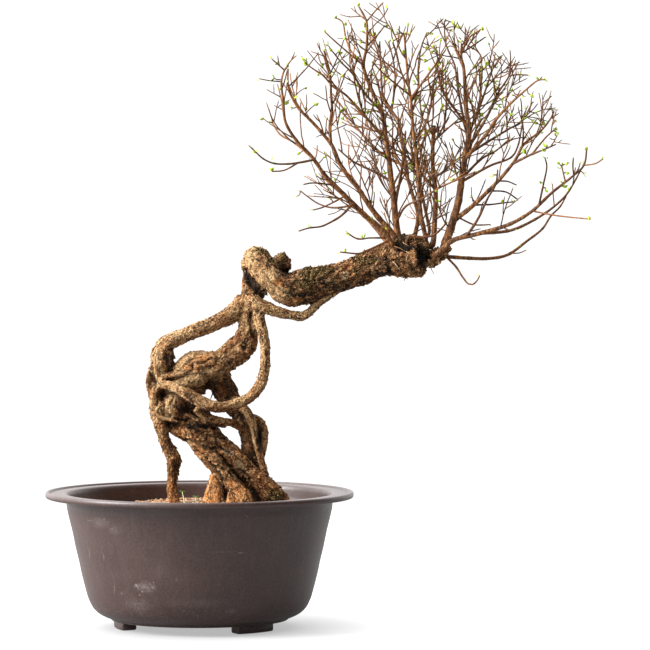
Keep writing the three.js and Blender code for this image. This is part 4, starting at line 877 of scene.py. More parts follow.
class Recipe(Nodes):
    """A node material."""

    def __init__(self, name):
        self.material = bpy.data.materials.new(name)
        self.material.use_nodes = True
        super().__init__(self.material.node_tree)
        self.shader = self.tree.nodes["Principled BSDF"]
        self.place = self.node("TexCoord").outputs["Object"]

    def attribute(self, name, output="Color"):
        return self.node("Attribute", attribute_name=name).outputs[output]

    def channels(self, name):
        return self.node("SeparateColor", {"Color": self.attribute(name)}).outputs

    def scaled(self, vector, scale):
        return self.node("Mapping", {"Vector": vector, "Scale": scale}).outputs["Vector"]

    def noise(self, size, detail=4.0, roughness=0.6, vector=None, distortion=0.0):
        """Noise whose features are about this many millimetres across."""
        return self.node("TexNoise", {
            "Vector": self.place if vector is None else vector, "Scale": 1 / (size * MM),
            "Detail": detail, "Roughness": roughness, "Distortion": distortion,
        }).outputs["Fac"]

    def cells(self, size, feature="F1", vector=None, output="Distance"):
        """Cells about this many millimetres across."""
        return self.node("TexVoronoi", {
            "Vector": self.place if vector is None else vector, "Scale": 1 / (size * MM),
        }, feature=feature).outputs[output]

    def ramp(self, value, *stops):
        """Takes a value through stops: a position, then a grey or a colour as it looks on screen."""
        made = self.node("ValToRGB", {"Fac": value})
        line = made.color_ramp
        while len(line.elements) < len(stops):
            line.elements.new(1.0)
        for element, (position, *tone) in zip(line.elements, stops):
            element.position = position
            element.color = colour(*tone) if len(tone) == 3 else (tone * 3 + [1.0])
        return made.outputs["Color"]

    def ragged(self, mask, texture, reach=1):
        """A mask whose edge wanders with a texture."""
        wander = self.math("SUBTRACT", texture, 0.5)
        if reach != 1:
            wander = self.times(wander, reach)
        return self.plus(mask, wander)

    def blend(self, share, first, second, kind="MIX"):
        made = self.node("Mix", data_type="RGBA", blend_type=kind)
        self.feed(made.inputs[0], share)
        self.feed(made.inputs[6], first)
        self.feed(made.inputs[7], second)
        return made.outputs[2]

    def bump(self, height, depth, strength=1.0, below=None):
        """A bump of this many millimetres, on top of one below."""
        made = self.node("Bump", {"Height": height, "Strength": strength, "Distance": depth * MM})
        if below is not None:
            self.feed(made.inputs["Normal"], below)
        return made.outputs["Normal"]

    def finish(self, base, roughness, normal, specular=0.5):
        self.feed(self.shader.inputs["Base Color"], base)
        self.feed(self.shader.inputs["Roughness"], roughness)
        self.feed(self.shader.inputs["Normal"], normal)
        self.shader.inputs["Specular IOR Level"].default_value = specular
        return self.material


def bark_finish():
    """Flaking bark: tan to dark brown, pitted and cracked, with moss and lichen, painted shade in its
    hollows, creases and shadowed gaps, and small painted highlights.
    """
    mix = Recipe("bark")
    grain = mix.attribute("grain", "Vector")
    pale, orange, dark = mix.channels("bark_tones")[:3]
    moss, lichen, crack_and_crease_shade = mix.channels("bark_growths")[:3]
    # The marks are pores, painted shade in wounds and in the deepest shadow, and scales.
    pores, deep_shade, scales = mix.channels("bark_marks")[:3]
    streaks = mix.noise(2.2, 5.0, 0.7, grain)
    mottle = mix.noise(5.5, 5.0, 0.68)
    zones = mix.ramp(mix.noise(9.0, 3.0, 0.6), (0.42, 0.0), (0.58, 1.0))
    crumbs = mix.noise(1.9, 2.5, 0.7)
    fine = mix.noise(0.9, 3.0, 0.7)
    seams = mix.noise(2.6, 2.0, 0.55, mix.scaled(grain, (1, 1, 0.35)))
    flakes = mix.cells(4.0, vector=mix.scaled(grain, (1, 1, 1.6)), output="Color")
    flake_tone = mix.node("SeparateColor", {"Color": flakes}).outputs["Red"]
    grit = mix.plus(mix.times(streaks, 0.55), mix.times(crumbs, 0.45))
    base = mix.ramp(grit, (0.38, 60, 38, 23), (0.44, 130, 88, 54), (0.52, 180, 132, 86),
                    (0.62, 224, 182, 130))
    shade = mix.ramp(mottle, (0.3, 122, 104, 84), (0.43, 214, 196, 176), (0.55, 255, 244, 228),
                     (0.72, 200, 168, 140))
    base = mix.blend(0.9, base, shade, "MULTIPLY")
    drift = mix.ramp(mix.noise(15.0, 3.0, 0.6), (0.38, 206, 200, 176), (0.5, 255, 250, 240),
                     (0.62, 255, 214, 168))
    base = mix.blend(0.85, base, drift, "MULTIPLY")
    grain_shade = mix.ramp(fine, (0.38, 146, 136, 126), (0.5, 255, 252, 248))
    light = mix.ramp(grit, (0.37, 136, 94, 58), (0.44, 190, 146, 98), (0.53, 220, 182, 132),
                     (0.64, 236, 210, 168))
    pale_share = mix.ramp(mix.ragged(pale, mottle), (0.15, 0.0), (0.62, 0.95))
    base = mix.blend(pale_share, base, light)
    base = mix.blend(0.85, base, grain_shade, "MULTIPLY")
    rust = mix.ramp(grit, (0.38, 112, 62, 32), (0.46, 180, 110, 58), (0.58, 222, 158, 92))
    rust_share = mix.ramp(mix.ragged(orange, mottle), (0.42, 0.0), (0.72, 0.8))
    base = mix.blend(rust_share, base, rust)
    tone = mix.ramp(flake_tone, (0.0, 0.5), (0.4, 0.9), (1.0, 1.0))
    base = mix.blend(mix.times(scales, 0.8), base, tone, "MULTIPLY")
    specks = mix.times(mix.ramp(crumbs, (0.4, 1.0), (0.45, 0.0)), zones)
    speckled = mix.plus(0.45, mix.times(pores, 0.5), clamp=True)
    base = mix.blend(mix.times(specks, speckled), base, colour(46, 28, 18))
    seam_share = mix.times(mix.ramp(seams, (0.39, 0.9), (0.43, 0.0)),
                           mix.plus(mix.times(zones, 0.75), 0.25))
    base = mix.blend(seam_share, base, colour(52, 33, 21))
    dots = mix.ramp(mix.cells(2.7), (0.2, 1.0), (0.3, 0.0))
    base = mix.blend(mix.times(dots, mix.times(pores, 0.95)), base, colour(50, 30, 18))
    # Dark bark, and painted shade where the wood lies in shadow.
    dark_and_shade_share = mix.ramp(mix.ragged(dark, crumbs), (0.35, 0.0), (0.9, 0.92))
    base = mix.blend(dark_and_shade_share, base, colour(42, 30, 21))
    # Pale specks as painted highlights.
    painted_highlights = mix.times(mix.ramp(crumbs, (0.56, 0.0), (0.62, 0.55)), zones)
    base = mix.blend(mix.times(painted_highlights, mix.math("SUBTRACT", 1.0, deep_shade)), base, colour(226, 194, 146))
    tufts = mix.ramp(fine, (0.38, 42, 32, 19), (0.5, 94, 76, 44), (0.64, 160, 136, 86))
    moss_share = mix.ramp(mix.ragged(moss, mix.noise(2.4, 5.0, 0.7), 1.8), (0.3, 0.0), (0.55, 0.85))
    base = mix.blend(moss_share, base, tufts)
    crust_share = mix.ramp(mix.ragged(lichen, mix.noise(1.8, 5.0, 0.8), 4.0), (0.55, 0.0), (0.9, 0.6))
    base = mix.blend(crust_share, base, colour(210, 190, 152))
    # Dark cracks in the bark, and painted shade along the creases.
    base = mix.blend(mix.times(crack_and_crease_shade, 0.9), base, colour(34, 23, 15))
    # Near black over wounds and the deepest shadow: painted shade.
    base = mix.blend(mix.times(deep_shade, 0.96), base, colour(22, 18, 16))
    rough = mix.ramp(fine, (0.3, 0.95), (0.8, 0.74))
    normal = mix.bump(mix.ramp(streaks, (0.36, 0.0), (0.62, 1.0)), 0.6, 0.8)
    normal = mix.bump(mix.times(flake_tone, scales), 0.8, 0.8, normal)
    normal = mix.bump(mix.ramp(crumbs, (0.38, 0.0), (0.6, 1.0)), 0.55, 1.0, normal)
    normal = mix.bump(mix.ramp(seams, (0.38, 0.0), (0.46, 1.0)), 0.8, 0.9, normal)
    return mix.finish(base, rough, normal, 0.22)


def scrap_finish(name, size, rough, speck, *tones):
    """Small loose things, each one its own tone, with fine dark specks."""
    mix = Recipe(name)
    fine = mix.noise(size, 4.0, 0.7)
    base = mix.ramp(mix.attribute("tint", "Fac"), *tones)
    base = mix.blend(mix.ramp(fine, (0.4, 0.6), (0.55, 0.0)), base, colour(*speck))
    return mix.finish(base, rough, mix.bump(fine, 0.3), 0.2)


def loose_bark_finish():
    """Torn flakes, fibres and rootlets, dark brown to pale tan."""
    return scrap_finish("loose_bark", 1.1, 0.9, (60, 41, 27), (0.0, 38, 27, 19), (0.3, 92, 62, 40),
                        (0.55, 146, 102, 65), (0.8, 194, 150, 104), (1.0, 216, 192, 156))


def moss_finish():
    """Dry olive moss with dark roots and yellowish tips."""
    return scrap_finish("dry_moss", 0.8, 0.95, (40, 31, 18), (0.0, 38, 28, 17), (0.5, 90, 72, 42),
                        (0.85, 146, 120, 72), (1.0, 186, 166, 116))


def young_bark_finish():
    """Thin red-brown bark of the shoots, browner and scuffed on the thicker stems."""
    mix = Recipe("young_bark")
    girth = mix.attribute("girth", "Fac")
    tint = mix.attribute("tint", "Fac")
    streaks = mix.noise(1.8, 5.0, 0.7, mix.scaled(mix.place, (1, 1, 0.25)))
    patches = mix.noise(7.0, 5.0, 0.7)
    fine = mix.noise(0.8, 4.0)
    thin = mix.ramp(tint, (0.0, 62, 34, 15), (0.35, 110, 64, 28), (0.7, 154, 98, 44), (1.0, 102, 70, 32))
    thick = mix.ramp(streaks, (0.36, 52, 30, 16), (0.45, 98, 58, 30), (0.54, 146, 94, 50),
                     (0.66, 196, 144, 84))
    base = mix.blend(mix.ramp(girth, (0.12, 0.0), (0.42, 1.0)), thin, thick)
    base = mix.blend(mix.ramp(patches, (0.36, 0.75), (0.52, 0.0)), base, colour(48, 33, 25))
    base = mix.blend(mix.ramp(fine, (0.36, 0.8), (0.48, 0.0)), base, colour(46, 29, 19))
    specks = mix.ramp(mix.cells(1.5), (0.07, 0.5), (0.16, 0.0))
    base = mix.blend(specks, base, colour(182, 146, 110))
    return mix.finish(base, 0.62, mix.bump(fine, 0.3, 0.8, mix.bump(streaks, 0.4)), 0.3)


def leaf_finish():
    """Fresh spring leaves: yellow-green, soft and a little see-through."""
    mix = Recipe("young_leaf")
    tint = mix.attribute("tint", "Fac")
    base = mix.ramp(tint, (0.0, 112, 84, 40), (0.06, 124, 150, 18), (0.4, 152, 182, 24),
                    (0.75, 178, 198, 40), (1.0, 194, 186, 62))
    vein = mix.noise(0.9, 3.0)
    base = mix.blend(mix.ramp(vein, (0.45, 0.0), (0.7, 0.3)), base, colour(190, 204, 76))
    mix.shader.inputs["Subsurface Weight"].default_value = 0.15
    mix.shader.inputs["Subsurface Radius"].default_value = (0.5, 1.0, 0.2)
    mix.shader.inputs["Subsurface Scale"].default_value = 0.6 * MM
    return mix.finish(base, 0.5, mix.bump(vein, 0.12, 0.6), 0.4)


def pot_finish():
    """Worn dark brown plastic: satin, streaked, dusty at the foot and scuffed."""
    mix = Recipe("pot_plastic")
    around = mix.scaled(mix.place, (1, 1, 0.06))
    streaks = mix.noise(7.0, 5.0, 0.6, around)
    cloud = mix.noise(38.0, 4.0, 0.55)
    fine = mix.noise(1.2, 3.0)
    blotch = mix.noise(3.0, 6.0, 0.75)
    base = mix.ramp(cloud, (0.3, 45, 27, 24), (0.55, 52, 33, 29), (0.75, 60, 40, 36))
    mottle = mix.noise(1.8, 4.0, 0.75)
    base = mix.blend(mix.ramp(mottle, (0.4, 0.0), (0.66, 0.2)), base, colour(118, 90, 82))
    base = mix.blend(mix.ramp(streaks, (0.5, 0.0), (0.8, 0.25)), base, colour(92, 76, 70))
    height = mix.node("SeparateXYZ", {"Vector": mix.place}).outputs["Z"]
    low = mix.ramp(mix.times(height, 1 / (34 * MM)), (0.0, 1.0), (1.0, 0.0))
    dust = mix.times(mix.ramp(blotch, (0.54, 0.0), (0.7, 0.7)), mix.plus(mix.times(low, 0.55), 0.06))
    scuffed = 0.0
    for across, level, wide, high, strength in POT_SCUFFS:
        depth = -math.sqrt(max(SCUFF_RADIUS ** 2 - across ** 2, 0))
        spot = sighted(across, level, depth)
        centre = (AXIS_X + spot.x * MM, spot.y * MM, spot.z * MM)
        offset = mix.node("VectorMath", {0: mix.place, 1: centre}, operation="SUBTRACT")
        stretched = mix.scaled(offset.outputs["Vector"],
                               (1 / (wide * MM), 1 / (60 * MM), 1 / (high * MM)))
        reach = mix.node("VectorMath", {0: stretched}, operation="LENGTH").outputs["Value"]
        ragged = mix.plus(mix.times(reach, 0.5), blotch)
        scuffed = mix.math("MAXIMUM", scuffed,
                           mix.ramp(ragged, (0.5, strength), (0.8, strength * 0.4), (1.0, 0.0)))
    chalk = mix.ramp(mix.noise(1.7, 5.0, 0.85), (0.44, 0.1), (0.52, 0.6), (0.6, 1.0))
    dust = mix.math("MAXIMUM", dust, mix.times(scuffed, chalk))
    base = mix.blend(dust, base, colour(168, 156, 150))
    specks = mix.times(mix.ramp(mix.cells(5.5), (0.03, 0.6), (0.08, 0.0)),
                       mix.ramp(cloud, (0.5, 0.0), (0.62, 1.0)))
    base = mix.blend(specks, base, colour(176, 166, 156))
    lines = mix.scaled(mix.place, (1, 1, 9))
    scuffs = mix.ramp(mix.noise(26.0, 6.0, 0.75, lines, 0.4), (0.64, 0.0), (0.74, 0.22))
    base = mix.blend(scuffs, base, colour(118, 104, 98))
    rough = mix.ramp(mix.plus(fine, mix.times(dust, 0.5)), (0.35, 0.37), (0.9, 0.56))
    normal = mix.bump(mix.noise(16.0, 3.0, 0.5, around), 0.5, 0.35)
    normal = mix.bump(mottle, 0.16, 0.6, normal)
    return mix.finish(base, rough, normal, 0.6)


def soil_finish():
    """Packed fine soil between the grains."""
    mix = Recipe("soil_bed")
    base = mix.ramp(mix.noise(2.4, 6.0, 0.7), (0.3, 66, 48, 36), (0.5, 108, 82, 62), (0.7, 150, 122, 96))
    return mix.finish(base, 0.95, mix.bump(mix.noise(1.2, 5.0, 0.7), 0.8), 0.2)


def grain_finish():
    """Loose grains: tan, reddish, grey and dark, each one its own tone."""
    mix = Recipe("soil_grains")
    tint = mix.attribute("tint", "Fac")
    base = mix.ramp(tint, (0.0, 92, 66, 48), (0.2, 150, 102, 70), (0.45, 186, 140, 100),
                    (0.65, 200, 168, 130), (0.85, 176, 164, 148), (1.0, 112, 102, 94))
    fine = mix.noise(0.6, 5.0, 0.7)
    base = mix.blend(mix.ramp(fine, (0.4, 0.5), (0.6, 0.0)), base, colour(96, 72, 54))
    return mix.finish(base, 0.95, mix.bump(fine, 0.35), 0.2)


def seedling_finish():
    """Tender seedlings: pale stems below bright seed leaves."""
    mix = Recipe("seedling")
    height = mix.attribute("tint", "Fac")
    base = mix.ramp(height, (0.0, 226, 222, 200), (0.6, 196, 214, 150), (0.8, 104, 172, 36),
                    (1.0, 80, 154, 22))
    fine = mix.noise(0.7, 3.0)
    base = mix.blend(mix.ramp(fine, (0.5, 0.0), (0.8, 0.12)), base, colour(170, 206, 90))
    return mix.finish(base, 0.45, mix.bump(fine, 0.08), 0.4)


def floor_finish():
    """Plain pale floor like a light table, a little dimmer right under the pot: a painted shadow."""
    mix = Recipe("pale_floor")
    base = mix.ramp(mix.noise(400.0, 2.0), (0.3, 122, 122, 122), (0.7, 126, 126, 126))
    centred = mix.node("VectorMath", {0: mix.place, 1: (AXIS_X, 0, 0)}, operation="SUBTRACT")
    away = mix.node("VectorMath", {0: centred.outputs["Vector"]}, operation="LENGTH")
    near, far = FLOOR_SHADOW_RADII
    share = mix.math("DIVIDE", mix.math("SUBTRACT", away.outputs["Value"], near * MM), (far - near) * MM)
    low, high = FLOOR_GLOW
    # Less glow near the pot: a painted shadow under it.
    glow_with_painted_shadow = mix.ramp(share, (0.0, low), (1.0, high))
    seen = mix.node("LightPath").outputs["Is Camera Ray"]
    mix.feed(mix.shader.inputs["Emission Color"], glow_with_painted_shadow)
    mix.feed(mix.shader.inputs["Emission Strength"],
             mix.plus(FLOOR_BOUNCE, mix.times(seen, 1 - FLOOR_BOUNCE)))
    return mix.finish(base, 0.9, mix.bump(mix.noise(90.0, 2.0), 0.01), 0.1)


# Trunk and roots


def wood_rings(step):
    """Directed rings of every limb, by name."""
    return {name: directed(rows_rings(rows, step)) for name, (_, rows) in LIMBS.items()}


def nearest_limbs(places, rings_of):
    """For each place: which limb it lies on, and where it is along and across that limb."""
    names = list(rings_of)
    count = len(places)
    best = np.full(count, 1e9)
    limb = np.zeros(count, int)
    local = np.zeros((count, 3))
    radius = np.zeros(count)
    ways = np.zeros((count, 3))
    for number, name in enumerate(names):
        rings = rings_of[name]
        centres = np.array([ring.centre for ring in rings])
        radii = np.array([ring.radius for ring in rings])
        squares = ((places ** 2).sum(1)[:, None] + (centres ** 2).sum(1)[None]
                   - 2 * places @ centres.T)
        depth = np.sqrt(np.maximum(squares, 0)) - radii[None]
        chosen = depth.argmin(1)
        value = depth[np.arange(count), chosen]
        closer = value < best
        best[closer] = value[closer]
        limb[closer] = number
        picked = chosen[closer]
        offset = places[closer] - centres[picked]
        frames = [np.array([getattr(ring, part) for ring in rings])[picked]
                  for part in ("side", "other", "tangent")]
        local[closer] = np.stack([(offset * frame).sum(1) for frame in frames], 1)
        local[closer, 2] += np.array([ring.along for ring in rings])[picked]
        radius[closer] = radii[picked]
        ways[closer] = frames[2]
    return names, limb, local, radius, ways


def noise_at(places, size, offset=0.0):
    """Smooth noise from -1 to 1 at each place, with features of about this size."""
    return np.array([noise.noise(place) for place in (places / size + offset).tolist()])


def cells_at(places, size):
    """For each place, how far it is from the edge of its cell, and that cell's own number."""
    edges = np.zeros(len(places))
    marks = np.zeros(len(places))
    for i, place in enumerate((places / size).tolist()):
        distances, centres = noise.voronoi(place)
        edges[i] = distances[1] - distances[0]
        marks[i] = noise.cell(centres[0] * 7.3)
    return edges, marks


def paint(mesh, name, *values):
    """Stores up to three values a vertex as a colour attribute."""
    layer = mesh.color_attributes.new(name, "FLOAT_COLOR", "POINT")
    table = np.ones((len(mesh.vertices), 4), np.float32)
    table[:, :3] = 0
    for channel, value in enumerate(values):
        table[:, channel] = np.clip(value, 0, 1)
    layer.data.foreach_set("color", table.ravel())


def away_from_line(across, height, points):
    """How far each place, as seen from the front, is from a line of points."""
    nearest = np.full(len(across), 1e9)
    for (x0, z0), (x1, z1) in zip(points, points[1:]):
        run, climb = x1 - x0, z1 - z0
        share = ((across - x0) * run + (height - z0) * climb) / (run * run + climb * climb)
        share = np.clip(share, 0, 1)
        nearest = np.minimum(nearest, np.hypot(across - x0 - share * run, height - z0 - share * climb))
    return nearest


def mesh_table(mesh, part):
    """The places or normals of a mesh's vertices as a table."""
    table = np.zeros(len(mesh.vertices) * 3)
    mesh.vertices.foreach_get(part, table)
    return table.reshape(-1, 3)


def trunk_and_roots():
    rings_of = wood_rings(WOOD_STEP)
    shape = bmesh.new()
    for number, rings in enumerate(rings_of.values()):
        add_tube(shape, rings, WOOD_SIDES, WOOD_LOBES, number * 1.9)
    piece = piece_from("trunk_and_roots_wood", shape)
    shape_with(piece, "REMESH", mode="VOXEL", voxel_size=WOOD_VOXEL)
    shape_with(piece, "SMOOTH", factor=0.5, iterations=3)
    mesh = piece.data
    count = len(mesh.vertices)
    places = mesh_table(mesh, "co")
    normals = mesh_table(mesh, "normal")
    names, limb, local, radius, ways = nearest_limbs(places, rings_of)
    looks = np.array([LIMBS[name][0] for name in names])[limb]
    scales, pale, orange, dark, pores = (looks[:, i].copy() for i in range(5))
    across, height = seen_at(*places.T)
    near = np.clip(-normals[:, 1] * 2 + 0.9, 0, 1)

    # The trunk's bark changes along it: smooth and pale at the bend, rough and dark to the end
    on_trunk = limb == names.index("trunk")
    out = np.clip((across - LIMB_FROM) / 30, 0, 1) * on_trunk * (height > LIMB_FLOOR)
    bend = on_trunk * (height > BEND_FLOOR) * (across < LIMB_FROM)
    burl = np.clip((across - BURL_FROM) / 12, 0, 1) * (height > BURL_FLOOR)
    lower = on_trunk * (height < BEND_FLOOR)
    foot = (limb == names.index("loop")) * np.clip((LOOP_FOOT_TOP - height) / 25, 0, 1)
    scales += 0.2 * out - 0.3 * bend + 0.3 * burl + 0.4 * foot
    pale += 0.05 * bend - 0.3 * out - 0.1 * lower - 0.3 * foot + 0.2 * burl
    dark += 0.25 * out - 0.05 * burl + 0.25 * foot
    orange += 0.15 * burl + 0.25 * foot

    # The grain runs along each limb. The surface rises and falls with it, in millimetres
    grain = local.copy()
    grain[:, 2] *= 0.34
    grain += limb[:, None] * 37.0
    grain += np.stack([noise_at(places, 6, shift) for shift in (0.3, 7.7, 3.9)], 1) * 1.1
    lumps = noise_at(places, 15)
    knobs = noise_at(places, 7, 5.3)
    ribs = noise_at(grain, 3.6, 3.1)
    strands = noise_at(grain, 1.6, 9.7)
    grit = noise_at(places, 2.3, 1.7)
    edges, marks = cells_at(grain * np.array([1, 1, 1.3]), 3.1)
    torn = np.clip(0.55 + 1.4 * noise_at(places, 8, 6.6), 0, 1)
    cracks_and_crease_shade = np.clip((0.15 - edges) / 0.15, 0, 1) * np.clip(scales, 0, 1) * torn
    thick = np.clip(radius / 9, 0.3, 1.4)
    chips = 1 - 2.4 * np.abs(noise_at(places, 5.2, 6.1))
    rise = (0.8 * lumps * thick + 0.8 * ribs * thick * (0.4 + 0.6 * scales)
            + 0.45 * strands * thick + 0.75 * (marks - 0.5) * scales * thick
            - 0.7 * cracks_and_crease_shade * thick + 0.45 * grit + 0.42 * chips * (0.4 + 0.6 * scales) - 0.1)
    rise += out * (0.7 * knobs + 0.9 * noise_at(places, 4.4, 3.3))
    rise += burl * (2.0 * knobs + 1.5 * noise_at(places, 3.4, 2.2) + 0.7)
    rise += 0.9 * knobs * np.clip(dark - 0.4, 0, 1)

    masks = {kind: np.zeros(count) for kind in PATCHES}
    for kind, patches in PATCHES.items():
        for x, z, wide, high, strength in patches:
            away = np.hypot((across - x) / wide, (height - z) / high) + 0.45 * knobs + 0.35 * grit
            masks[kind] = np.maximum(masks[kind], np.clip(1.35 - away, 0, 1) * strength * near)
    moss = masks["moss"] + 0.3 * out * np.clip(normals[:, 2] + 0.2, 0, 1)
    rise += 1.5 * np.clip(masks["moss"] - 0.3, 0, 1) * (0.6 + noise_at(places, 2.4, 8.8))

    # The insides of the wounds are painted near black: painted shade in the hollows.
    deep_shade = np.zeros(count)
    for x, z, wide, high, depth in WOUNDS:
        away = np.hypot((across - x) / wide, (height - z) / high) + 0.3 * knobs + 0.2 * grit
        inside = np.clip(1.15 - away, 0, 1) * (normals[:, 1] < 0.25)
        rise -= depth * np.clip(inside * 2.2, 0, 1)
        rise += 0.6 * np.exp(-((away - 1.3) / 0.2) ** 2) * (normals[:, 1] < 0.1)
        deep_shade = np.maximum(deep_shade, np.clip(inside * 2.4, 0, 1) * min(0.25 + 0.15 * depth, 1))
    # Each crease is carved in and painted dark: painted shade in the groove.
    for width, depth, points in CREASES:
        away = away_from_line(across, height, points) * (1 + 0.25 * grit)
        groove = np.exp(-(away / width) ** 2) * near
        rise -= depth * groove
        cracks_and_crease_shade = np.maximum(cracks_and_crease_shade, np.clip(groove * 1.3 - 0.3, 0, 1) * min(0.5 + 0.3 * depth, 1))
    # The strongest dark patches are painted near black too: painted shade.
    deep_shade = np.maximum(deep_shade, np.clip(masks["dark"] - 0.75, 0, 1) * 1.6)

    places += normals * rise[:, None]
    mesh.vertices.foreach_set("co", places.ravel())
    mesh.update()
    layer = mesh.attributes.new("grain", "FLOAT_VECTOR", "POINT")
    layer.data.foreach_set("vector", (grain * MM).astype(np.float32).ravel())
    tone = noise_at(places, 11, 4.4)
    # Where the surface sinks in, the dark tone rises: painted shade in the hollows.
    hollow_shade = np.clip(-rise * 0.22, 0, 0.5)
    # The dark tone carries painted shade, the crack value painted shade in the creases, and the second mark
    # painted shade in wounds and the deepest shadow.
    paint(mesh, "bark_tones",
          pale + masks["pale"] * 0.7 - masks["dark"] + 0.3 * tone,
          orange * 0.7 + masks["orange"] * 0.7 + 0.2 * knobs,
          dark * 0.7 + masks["dark"] * 0.8 - masks["pale"] * 0.5 - 0.35 * tone + hollow_shade)
    paint(mesh, "bark_growths", moss, masks["lichen"], cracks_and_crease_shade * 0.9)
    paint(mesh, "bark_marks", pores, deep_shade, scales)
    smooth(piece)
    bare = np.clip(1 - deep_shade * 1.4, 0, 1) * (height > SOIL_LINE)
    cover = {
        "flake": np.clip(scales - 0.2, 0.05, 1) * bare * (0.5 + burl),
        "moss": np.clip(moss - 0.25, 0, 1) * bare,
        "fibre": np.clip(burl - 0.2, 0, 1) * (across < BURL_TO) * bare,
        "thread": bare * np.clip(radius - 3, 0.2, 4),
    }
    # The bark's brightness here, lowered by the dark patches and so also by their painted shade; the loose
    # flakes and fibres take their tint from it.
    bright = pale + masks["pale"] * 0.6 - masks["dark"] * 0.7 - dark * 0.6 + 0.3 * orange
    bark_flakes(places, normals, ways, cover["flake"], bright)
    moss_tufts(places, normals, cover["moss"])
    bark_fibres(places, normals, ways, cover, bright)
    settle(piece, bark_finish(), "bark", "trunk_and_roots")


def chosen_places(weights, number, draw):
    """Picks places at random, more often where the weight is large."""
    total = np.cumsum(weights)
    return np.searchsorted(total, np.array([draw() for _ in range(number)]) * total[-1])


def laid_along(normal, way, turn, lift):
    """Directions along and across a surface, turned about its normal and tipped away from it."""
    across = normal.cross(way).normalized()
    along = across.cross(normal)
    heading = along * math.cos(turn) + across * math.sin(turn)
    side = normal.cross(heading)
    return heading * math.cos(lift) + normal * math.sin(lift), side


def flake_pattern():
    """One torn scale of bark of unit length: a thin uneven slab."""
    bpy.ops.mesh.primitive_circle_add(vertices=7, radius=0.5, fill_type="NGON")
    flake = bpy.context.object
    for number, vertex in enumerate(flake.data.vertices):
        stretch = (1.0, 0.78, 1.1, 0.7, 1.05, 0.84, 0.95)[number]
        vertex.co = (vertex.co.x * stretch * 0.62, vertex.co.y * stretch, 0.1 * stretch * vertex.co.x)
    shape_with(flake, "SOLIDIFY", thickness=0.13, offset=0)
    return flake


def bark_flakes(places, normals, ways, weights, bright):
    """Small scales that stand a little off the wood and break up its outline."""
    pattern = flake_pattern()
    draw = seeded_draw(FLAKE_SEED)
    frames = []
    for index in chosen_places(weights, FLAKE_COUNT, draw):
        normal = Vector(normals[index])
        along, side = laid_along(normal, Vector(ways[index]), (draw() - 0.5) * 1.3, 0.1 + 0.4 * draw() ** 2)
        size = between(FLAKE_LENGTH, draw() ** 1.5)
        foot = Vector(places[index]) + normal * (0.05 + 0.12 * draw())
        # The tint follows the bark below, its painted shade included.
        tint = clamped(0.44 + 0.34 * bright[index] + 0.5 * (draw() - 0.5))
        facing = side.cross(along) * size
        frames.append((foot, side * size * (0.7 + 0.6 * draw()), along * size, facing, tint))
    flakes = copies("bark_flakes", pattern, frames)
    bpy.data.objects.remove(pattern)
    settle(flakes, loose_bark_finish(), "bark")


def moss_pattern():
    """One cushion of moss of unit height, with a few sharp tips."""
    bpy.ops.mesh.primitive_ico_sphere_add(subdivisions=1, radius=0.5)
    cushion = bpy.context.object
    for number, vertex in enumerate(cushion.data.vertices):
        reach = (1.5, 0.8, 1.1, 0.7, 1.3, 0.9)[number % 6]
        vertex.co = (vertex.co.x * reach, vertex.co.z * reach * 0.9 + 0.1, vertex.co.y * reach)
    return cushion


def moss_tufts(places, normals, weights):
    """Cushions of moss, thick where the moss is."""
    pattern = moss_pattern()
    draw = seeded_draw(MOSS_SEED)
    frames = []
    for index in chosen_places(weights, MOSS_COUNT, draw):
        normal = Vector(normals[index])
        lean = Vector((draw() - 0.5, draw() - 0.5, draw() - 0.2)) * 0.9
        growth = (normal + lean).normalized()
        side = growth.cross(Vector((0.3, 0.8, draw()))).normalized()
        size = between(MOSS_SIZE, draw() ** 2)
        frames.append((Vector(places[index]), side * size, growth * size * (0.8 + draw()),
                       side.cross(growth) * size, draw()))
    tufts = copies("moss_tufts", pattern, frames)
    bpy.data.objects.remove(pattern)
    settle(tufts, moss_finish(), "bark")


def bark_fibres(places, normals, ways, cover, bright):
    """Torn fibres on the sawn end, hair-thin threads on the roots, and the rootlets."""
    draw = seeded_draw(FIBRE_SEED)
    shape = bmesh.new()
    tints = []
    for kind, number, lengths, thickness in FIBRES:
        for index in chosen_places(cover[kind], number, draw):
            normal = Vector(normals[index])
            along, side = laid_along(normal, Vector(ways[index]), (draw() - 0.5) * 2.6, 0.0)
            length = between(lengths, draw())
            foot = Vector(places[index]) + normal * 0.1
            lift = normal * (0.4 + 0.9 * draw())
            points = [foot - along * length * 0.5, foot + lift + side * (draw() - 0.5) * length * 0.3,
                      foot + along * length * 0.5 + lift * draw()]
            rings = directed(limb_rings(points, [thickness, thickness, thickness * 0.5], 2))
            # The tint follows the bark below, its painted shade included.
            tint = clamped(0.5 + 0.3 * bright[index] + 0.6 * (draw() - 0.5))
            tints += [tint] * add_tube(shape, rings, 4)
    for tint, thickness, path in ROOTLETS:
        points = [sighted(across, height, depth) for across, depth, height in path]
        radii = [thickness - 0.5 * thickness * i / (len(points) - 1) for i in range(len(points))]
        tints += [tint] * add_tube(shape, directed(limb_rings(points, radii, 1.5)), 6)
    piece = piece_from("bark_fibres", shape)
    tinted(piece.data, tints)
    smooth(piece)
    settle(piece, bpy.data.materials["loose_bark"], "bark")


# Shoots


def heart_of_trunk(point):
    """The nearest ring of the wood that the shoots spring from."""
    rings = [ring for name in ("trunk", "spur", "knot") for ring in rows_rings(LIMBS[name][1], WOOD_STEP)]
    return min(rings, key=lambda ring: (ring.centre - point).length - ring.radius)


def sunken_foot(point):
    """Where a shoot that shows from this point on begins inside the wood."""
    heart = heart_of_trunk(point)
    outward = (point - heart.centre).normalized()
    return heart.centre + outward * max(1, heart.radius - SHOOT_SINK)


